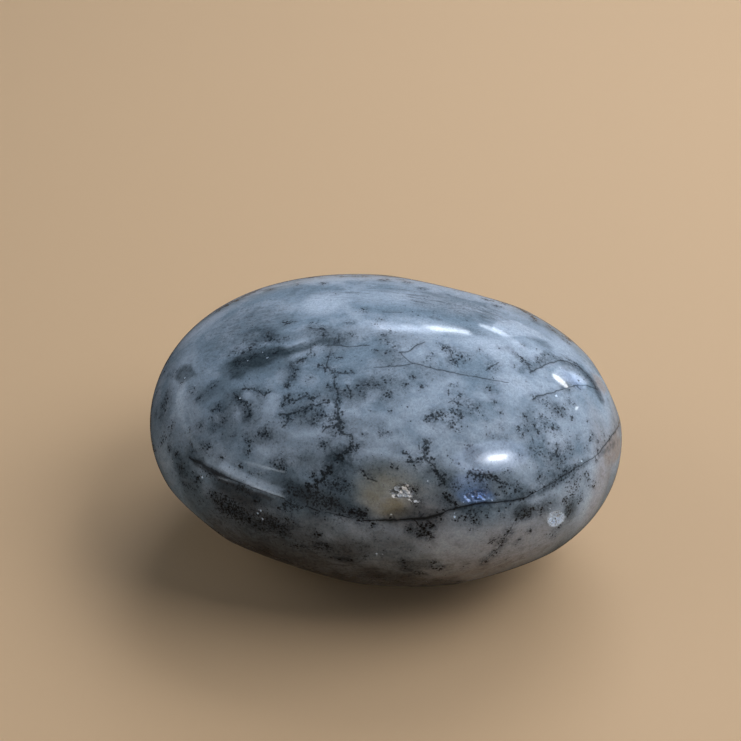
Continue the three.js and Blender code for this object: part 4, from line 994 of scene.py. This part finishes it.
# The opal's own unevenness: mm across, detail, roughness, distortion, and scale along the stone,
# where less than 1 draws it out. The finest real grains are under 0.1 mm, and are drawn at 0.25 mm
# or more, as coarse as they need to be to show.
STREAKED = 0.65
HATCHED = 0.14
UNEVENNESS = {
    "clouds": (7.0, 4, 0.55, 0.5, STREAKED),
    "wisps": (1.7, 5, 0.62, 0.7, STREAKED),
    "flecks": (0.7, 3, 0.6, 0, 1),
    "mottle": (0.36, 3, 0.65, 0, 1),
    "grains": (0.25, 3, 0.7, 0, 1),
    "moss": (0.46, 4, 0.75, 0, 1),
    "lumps": (1.0, 3, 0.6, 0, 1),
    "beads": (2.4, 2, 0.5, 0, 1),
    "specks": (0.26, 3, 0.65, 0, 1),
    "hatching": (0.5, 4, 0.7, 0, HATCHED),
    "ripple": (2.2, 2, 0.5, 0, 1),
    "lustre": (3.5, 3, 0.5, 0, 1),
}
BEADS_TO_MM = 2.8  # grains of a growth lie about 0.36 mm apart
CRYSTALS_TO_MM = 3.2  # pepper dots and the pits' crystals about 0.31 mm

# The body's tints in the order they are laid on its blue-grey: the most that each covers, its
# colour, and how it thins along the wisps: from and to noise, and the share that is left there.
BODY_COLOUR = "#758998"
BODY_TINTS = {
    # the milk tint also lays the one painted reflection among the milk patches
    "milk_and_painted_reflection": (1.0, "#b0c0cf", (0.2, 0.6, 0.7, 1.0)),
    # this warm grey is partly a painted reflection of the board
    "warm_grey_and_painted_board_reflection": (1.0, "#8d837a", (0.3, 0.7, 0.7, 1.0)),
    "cream": (0.9, "#87816a", (0.3, 0.7, 0.7, 1.0)),
    "ochre": (0.7, "#7f7047", (0.3, 0.7, 0.6, 1.0)),
    "smoke": (1.0, "#35434a", (0.25, 0.65, 0.8, 1.1)),
    # umber is partly painted shade and a painted reflection of the board on the underside
    "umber_and_painted_shade": (0.95, "#2b2318", (0.25, 0.65, 0.85, 1.05)),
    "blue": (0.65, "#4f7bbd", (0.3, 0.7, 0.6, 1.0)),
}


def srgb(code):
    """A linear RGBA colour from an sRGB hex value."""
    parts = [int(code[i : i + 2], 16) / 255 for i in (1, 3, 5)]
    return (*(c / 12.92 if c <= 0.04045 else ((c + 0.055) / 1.055) ** 2.4 for c in parts), 1)


def add_node(owner, kind, inputs, output=0, **settings):
    """Adds a node with its settings and links, and gives the output that is asked for. Inputs
    come in order, or by name or number, as values or as other nodes' outputs."""
    made = owner.node_tree.nodes.new(kind)
    for name, value in settings.items():
        setattr(made, name, value)
    for name, value in inputs.items() if isinstance(inputs, dict) else enumerate(inputs):
        if isinstance(value, bpy.types.NodeSocket):
            owner.node_tree.links.new(value, made.inputs[name])
        else:
            made.inputs[name].default_value = value
    return made.outputs[output]


def opal_fields(add, mm):
    """The opal's unevenness and the skin's fields by name, with each tint thinned along the wisps."""
    drawn_out = {1: mm}
    for share in (STREAKED, HATCHED):
        drawn_out[share] = add("ShaderNodeMapping", {"Vector": mm, "Scale": (share, 1, 1)})
    here = {}
    for name, (size, detail, roughness, distortion, share) in UNEVENNESS.items():
        here[name] = add(NOISE, {"Vector": drawn_out[share], "Scale": 1 / size, "Detail": detail,
                                 "Roughness": roughness, "Distortion": distortion})
    for name, field in FIELDS.items():
        output = "Fac" if field.ndim == 1 else "Vector"
        here[name] = add("ShaderNodeAttribute", {}, output, attribute_name=name)
    for kind, (_, _, thinned) in BODY_TINTS.items():
        share = add(RAMP, (here["wisps"], *thinned), **SMOOTH)
        here[kind] = add(MATH, (here[kind], share), use_clamp=True, **TIMES)
    return here


def milky_body(add, here):
    """The colour of the body: its tints, some of which paint shade and reflections, milk and thin smoke of
    its own, and fine flecks.
    """
    pale = add(MATH, (here["wisps"], 0.5, here["clouds"]), **TIMES_PLUS)
    pale = add(RAMP, (pale, 0.6, 0.95, 0, 0.7), **SMOOTH)
    thin_smoke = add(MATH, (here["flecks"], 0.5, here["wisps"]), **TIMES_PLUS)
    thin_smoke = add(RAMP, (thin_smoke, 0.76, 1.02, 0, 0.32), **SMOOTH)
    own = {"milk_and_painted_reflection": add(MATH, (pale, here["milk_and_painted_reflection"]), **MOST),
           "smoke": add(MATH, (thin_smoke, here["smoke"]), **MOST)}
    colour = srgb(BODY_COLOUR)
    for kind, (most, tint, _) in BODY_TINTS.items():
        share = add(MATH, (own.get(kind, here[kind]), most), **TIMES)
        colour = add(MIX, {SHARE: share, UNDER: colour, OVER: srgb(tint)}, **COLOURS)
    fine = add(MATH, (here["flecks"], 0.5, here["specks"]), **TIMES_PLUS)
    fine = add(RAMP, (fine, 0.5, 1.0, 0.74, 1.22))
    return add("ShaderNodeHueSaturation", {"Value": fine, "Color": colour})


def growths_below(add, here, colour):
    """The colour with what lies below the skin: growths out of focus and one painted dark reflection edge,
    the haze round those at the skin, fine moss that thickens in the smoke and the umber's painted shade,
    and hatching drawn out along the stone."""
    mottle = add(RAMP, (here["mottle"], 0.36, 0.6, 0.3, 1), **SMOOTH)
    patchy = add(RAMP, (here["lumps"], 0.3, 0.62, 0.35, 1), **SMOOTH)
    grainy = add(RAMP, (mottle, 0.3, 1, 0.55, 1))
    below = add(MATH, (add(MATH, (here["deep"], patchy), **TIMES), grainy), **TIMES)
    haze = add(MATH, (add(MATH, (here["crowd"], patchy), **TIMES), mottle), **TIMES)
    below = add(MATH, (add(MATH, (below, 0.76), **TIMES), add(MATH, (haze, 0.68), **TIMES)), **MOST)
    # the moss thickens in the smoke and in the umber, which is partly painted shade
    mossy = add(MATH, (here["smoke"], here["umber_and_painted_shade"]), **MOST)
    mossy = add(MATH, (here["crowd"], 0.5, mossy), use_clamp=True, **TIMES_PLUS)
    mossy = add(MATH, (mossy, 0.16, here["moss"]), **TIMES_PLUS)
    mossy = add(RAMP, (mossy, 0.58, 0.78, 0, 0.55), **SMOOTH)
    hatched = add(RAMP, (here["hatching"], 0.46, 0.68, 0, 0.55), **SMOOTH)
    hatched = add(MATH, (hatched, here["hatch"]), **TIMES)
    for share, tint in ((below, "#28323b"), (mossy, "#222b32"), (hatched, "#333639")):
        colour = add(MIX, {SHARE: share, UNDER: colour, OVER: srgb(tint)}, **COLOURS)
    return colour


def growths_at_skin(add, here, mm):
    """How far dark growth covers the skin: beads of grains, pepper up to 0.3 mm strewn round the
    colonies, stipple, and the stems and healed cracks."""
    ragged = add(MATH, (here["grains"], 0.45, -0.36), **TIMES_PLUS)
    ragged = add(MATH, (here["flecks"], 0.3, ragged), **TIMES_PLUS)
    beads = add(CELLS, {"Vector": mm, "Scale": BEADS_TO_MM}, "Distance", feature="F1")
    beads = add(MATH, (beads, 0.5, ragged), **TIMES_PLUS)
    growth = add(RAMP, (add(MATH, (here["dendrite gap"], beads), **PLUS), 0.33, 0.12), **SMOOTH)

    strewn = add(CELLS, {"Vector": mm, "Scale": CRYSTALS_TO_MM}, feature="F1").node.outputs
    chance = add("ShaderNodeSeparateColor", {0: strewn["Color"]})
    size = add(MATH, (here["pepper"], 0.4, 0.1), **TIMES_PLUS)
    size = add(MATH, (add(MATH, (chance, chance), **TIMES), size), **TIMES)
    dots = add(MATH, (strewn["Distance"], size), **LESS)
    dots = add(RAMP, (dots, 0.06, -0.14, 0, 0.8), **SMOOTH)
    stipple = add(MATH, (here["stipple"], 0.22, here["specks"]), **TIMES_PLUS)
    stipple = add(MATH, (here["moss"], 0.35, stipple), **TIMES_PLUS)
    stipple = add(RAMP, (stipple, 0.8, 0.93, 0, 0.9), **SMOOTH)
    growth = add(MATH, (add(MATH, (growth, dots), **MOST), stipple), **MOST)

    # each line has a dark core with a softer shoulder, and is uneven in width
    uneven = add(MATH, (here["beads"], 1.6, -0.8), **TIMES_PLUS)
    uneven = add(MATH, (ragged, 2.0, uneven), **TIMES_PLUS)
    for half in ("1", "2"):
        sides = add("ShaderNodeSeparateXYZ", {0: here["line side " + half]}).node.outputs
        gaps = add("ShaderNodeSeparateXYZ", {0: here["line gap " + half]}).node.outputs
        for side, gap in zip(sides, gaps):
            line = add(MATH, (add(MATH, (side,), operation="ABSOLUTE"), uneven), **PLUS)
            core = add(RAMP, (line, 1.5, 0.5, 0, 0.9), **SMOOTH)
            shoulder = add(RAMP, (line, 4.0, 0.5, 0, 0.34), **SMOOTH)
            near = add(RAMP, (gap, 0.3, 0.1), **SMOOTH)
            line = add(MATH, (add(MATH, (core, shoulder), **MOST), near), **TIMES)
            growth = add(MATH, (growth, line), **MOST)
    return growth


def crystals_over(add, here, mm, colour):
    """The colour with the crystals that line the pits and white drusy grains at the skin, a few of
    which paint a glint. Also how far a pit is lined, and the lining's relief."""
    crystals = add(CELLS, {"Vector": mm, "Scale": CRYSTALS_TO_MM}, feature="F1").node.outputs
    facets = add("ShaderNodeSeparateColor", {0: crystals["Color"]})
    facets = add(RAMP, (facets, 0.3, 0.7), **SMOOTH)
    lining = add(MATH, (here["flecks"], 0.9, add(MATH, (here["pit"], 0.45), **LESS)), **TIMES_PLUS)
    lining = add(RAMP, (lining, 0.34, 0.5), **SMOOTH)
    lined = add(MATH, (lining, 0.75), **TIMES)
    lining_colour = add(MIX, {SHARE: facets, UNDER: srgb("#3c4244"), OVER: srgb("#aab2b8")}, **COLOURS)
    lining_colour = add(MIX, {SHARE: here["blue"], UNDER: lining_colour, OVER: srgb("#2c4d7c")}, **COLOURS)
    colour = add(MIX, {SHARE: lined, UNDER: colour, OVER: lining_colour}, **COLOURS)

    white = add(MATH, (here["grains"], 0.4, -0.2), **TIMES_PLUS)
    white = add(MATH, (white, here["drusy"]), **PLUS)
    white = add(RAMP, (white, -0.02, 0.08), **SMOOTH)
    speckled = add(RAMP, (here["specks"], 0.52, 0.6, 0.88, 0.05), **SMOOTH)
    white = add(MATH, (white, add(MATH, (here["white"], speckled), **TIMES)), **MOST)
    grain_colour = add(MIX, {SHARE: here["blue"], UNDER: srgb("#d2e6fa"), OVER: srgb("#6f9fee")}, **COLOURS)
    grain_colour = add(MIX, {SHARE: here["cream"], UNDER: grain_colour, OVER: srgb("#ebe4d6")}, **COLOURS)
    colour = add(MIX, {SHARE: white, UNDER: colour, OVER: grain_colour}, **COLOURS)
    return colour, lining, add(MATH, (lining, crystals["Distance"]), **TIMES)


def polished_opal():
    """Common opal with manganese dendrites, cut and polished: a milky, faintly blue glassy body
    with soft clouds, near-black mossy growths at the skin and blurred grey ones below it."""
    material = bpy.data.materials.new("polished_dendritic_opal")
    material.use_nodes = True
    add = partial(add_node, material)
    place = add("ShaderNodeTexCoord", {}, "Object")
    mm = add("ShaderNodeMapping", {"Vector": place, "Scale": (1 / MM,) * 3})
    here = opal_fields(add, mm)

    colour = growths_below(add, here, milky_body(add, here))
    ink = add(RAMP, (here["bold"], 0, 1, 0.82, 0.98))
    ink_colour = add(MIX, {SHARE: here["bold"], UNDER: srgb("#12171b"), OVER: srgb("#14120f")}, **COLOURS)
    inked = add(MATH, (growths_at_skin(add, here, mm), ink), **TIMES)
    colour = add(MIX, {SHARE: inked, UNDER: colour, OVER: ink_colour}, **COLOURS)
    colour, lining, relief = crystals_over(add, here, mm, colour)

    # a high polish, a little uneven in lustre, over crystals that stay rough in the pits
    bump = add("ShaderNodeBump", {"Height": relief, "Strength": 0.9, "Distance": 0.25 * MM})
    ripple = {"Height": here["ripple"], "Strength": 0.25, "Distance": 0.02 * MM, "Normal": bump}
    bump = add("ShaderNodeBump", ripple)
    lustre = add(RAMP, (here["lustre"], 0.3, 0.7, 0.07, 0.12), **SMOOTH)
    lustre = add(MATH, (lining, 0.35, lustre), **TIMES_PLUS)

    shader = material.node_tree.nodes["Principled BSDF"].inputs
    for name, socket in (("Base Color", colour), ("Roughness", lustre), ("Normal", bump)):
        material.node_tree.links.new(socket, shader[name])
    shader["IOR"].default_value = 1.46  # opal's is 1.44 to 1.46
    shader["Subsurface Weight"].default_value = 0.22
    shader["Subsurface Radius"].default_value = (1.0, 1.1, 1.3)
    shader["Subsurface Scale"].default_value = 0.9 * MM
    return material


def matt_board():
    """Pale oiled board, sanded matt: a plain warm tan that the stone's shade falls on softly."""
    material = bpy.data.materials.new("matt_pale_board")
    material.use_nodes = True
    shader = material.node_tree.nodes["Principled BSDF"].inputs
    shader["Base Color"].default_value = srgb("#b99e7a")
    shader["Roughness"].default_value = 0.7
    return material


stone_data.materials.append(polished_opal())

# ---------------------------------------------------------------------------------------------
# Studio
# ---------------------------------------------------------------------------------------------

FLOOR_REACH = 3  # metres from the middle to each edge
floor_mesh = bmesh.new()
bmesh.ops.create_grid(floor_mesh, x_segments=1, y_segments=1, size=FLOOR_REACH)
floor_data = bpy.data.meshes.new("floor")
floor_mesh.to_mesh(floor_data)
floor_mesh.free()
floor_data.materials.append(matt_board())
floor = bpy.data.objects.new("floor", floor_data)
bpy.context.scene.collection.objects.link(floor)
floor.visible_glossy = False  # keeps the board out of the stone's polish

MIDDLE = Vector((0, 0, HALF_HEIGHT * MM))
MIRRORED_DISTANCE = 1.5  # metres


def lamp(name, around, above, distance, size, glow, colour, shape="RECTANGLE", roll=0):
    """A soft flat lamp of an even glow that faces the stone's middle."""
    data = bpy.data.lights.new(name, "AREA")
    data.shape = shape
    data.size, data.size_y = size
    data.energy = glow * math.pi * size[0] * size[1] * (math.pi / 4 if shape == "ELLIPSE" else 1)
    data.color = srgb(colour)[:3]
    made = bpy.data.objects.new(name, data)
    direction = Vector(facing(around, above))
    made.location = MIDDLE + direction * distance
    facing_in = direction.to_track_quat("Z", "Y").to_matrix() @ Matrix.Rotation(math.radians(roll), 3, "Z")
    made.rotation_euler = facing_in.to_euler()
    made.visible_camera = False
    bpy.context.scene.collection.objects.link(made)
    return made


# Windows, and the board's own glow, light the stone and are left out of its polish: name, round,
# up, distance and size in metres, glow and colour.
for window in (
    ("back_window", 78, 50, 0.5, (0.34, 0.26), 5.4, "#f6f6ff"),
    ("right_window", 8, 50, 0.5, (0.36, 0.3), 6.3, "#f6f6ff"),
    ("left_window", 195, 40, 0.6, (0.4, 0.3), 1.6, "#eef2ff"),
    ("board_glow", 338, 9, 0.5, (0.4, 0.1), 1.3, "#f2e9e0"),
    ("front_glow", 236, 8, 0.5, (0.5, 0.14), 0.6, "#ffe6cc"),
):
    lamp(*window).visible_glossy = False

# What the polish mirrors: name, round, up, size in metres, glow, colour, shape and roll.
MIRRORED = [
    ("window_edge", 88, 41.2, (0.25, 0.09), 16, "#eaf2ff", "RECTANGLE", 22),
    ("window_side", 98, 44.6, (0.36, 0.11), 5.5, "#dce8ff", "RECTANGLE", 6),
    ("window_blind", 96, 42, (0.6, 0.34), 2.2, "#d6e4fb", "ELLIPSE", 12),
    ("second_window", 79.2, 28.8, (0.17, 0.1), 9, "#e6f0ff", "ELLIPSE", 10),
    ("second_blind", 71, 30.6, (0.24, 0.12), 3.0, "#dfeaff", "ELLIPSE", -10),
    ("ceiling_lamp", 321.5, 37.6, (0.24, 0.12), 24, "#ffffff", "ELLIPSE", -14),
    ("ceiling_halo", 321.5, 38, (0.44, 0.28), 9, "#dfeaff", "ELLIPSE", -14),
    ("ceiling_shade", 320.5, 38.5, (0.86, 0.62), 3.4, "#c4d8ff", "ELLIPSE", -14),
    ("side_pane", 46.2, 28, (0.22, 0.12), 15, "#fbfdff", "ELLIPSE", 40),
    ("side_glint", 30.5, 21.7, (0.09, 0.04), 14, "#f0f8ff", "ELLIPSE", -30),
    ("side_sky", 52, 13, (0.2, 0.26), 4, "#bcd4f8", "ELLIPSE", 0),
    ("low_pane", 229.5, 9, (0.8, 0.2), 3.3, "#c8d8ee", "RECTANGLE", -9),
    ("low_pane_sill", 238.5, 4.4, (0.42, 0.035), 6, "#dfe9f4", "RECTANGLE", -12),
    ("low_pane_far", 186, 9, (0.8, 0.16), 0.7, "#d4e0ec", "RECTANGLE", 0),
    ("low_pane_back", 162, 9, (0.4, 0.2), 0.7, "#d4e0ec", "ELLIPSE", 0),
    ("low_streak", 219.9, -0.3, (0.17, 0.02), 4, "#dfe9f4", "RECTANGLE", 18),
    ("low_rail", 232.5, 22.9, (0.46, 0.035), 4.5, "#d4e0ec", "RECTANGLE", 8),
]
for name, around, above, *look in MIRRORED:
    lamp(name, around, above, MIRRORED_DISTANCE, *look).visible_diffuse = False

# The room is pale and cool above. Below, the board is brown and lit beyond the stone and to its
# right, and lies in its shade in front.
world = bpy.data.worlds.new("studio")
bpy.context.scene.world = world
world.use_nodes = True
add = partial(add_node, world)
outward = add("ShaderNodeTexCoord", {}, "Generated")
height = add("ShaderNodeSeparateXYZ", {0: outward}, "Z")
above = add(RAMP, (height, -0.25, 0.05), **SMOOTH)
beyond = add("ShaderNodeVectorMath", (outward, (0.6, 0.5, 0.62)), "Value", operation="DOT_PRODUCT")
lit = add(RAMP, (beyond, -0.2, 0.22), **SMOOTH)
board = add(MIX, {SHARE: lit, UNDER: srgb("#392e22"), OVER: srgb("#cdb79c")}, **COLOURS)
room = add(MIX, {SHARE: above, UNDER: board, OVER: srgb("#797f86")}, **COLOURS)
world.node_tree.links.new(room, world.node_tree.nodes["Background"].inputs["Color"])
world.node_tree.nodes["Background"].inputs["Strength"].default_value = 0.5

# The camera looks down on the front, a little from the right: degrees round and up, and mm.
CAMERA_ROUND, CAMERA_UP = 282, 38
CAMERA_DISTANCE = 206
CAMERA_AIM = Vector((-2.7, 3.8, 23.4))
CAMERA_LENS = 75.9
back = Vector(facing(CAMERA_ROUND, CAMERA_UP))
camera_data = bpy.data.cameras.new("camera")
camera_data.lens = CAMERA_LENS
camera_data.sensor_width = 36
camera_data.clip_start = 0.005
camera = bpy.data.objects.new("camera", camera_data)
camera.location = (CAMERA_AIM + back * CAMERA_DISTANCE) * MM
camera.rotation_euler = back.to_track_quat("Z", "Y").to_euler()
bpy.context.scene.collection.objects.link(camera)
bpy.context.scene.camera = camera
bpy.context.scene.view_settings.view_transform = "Standard"
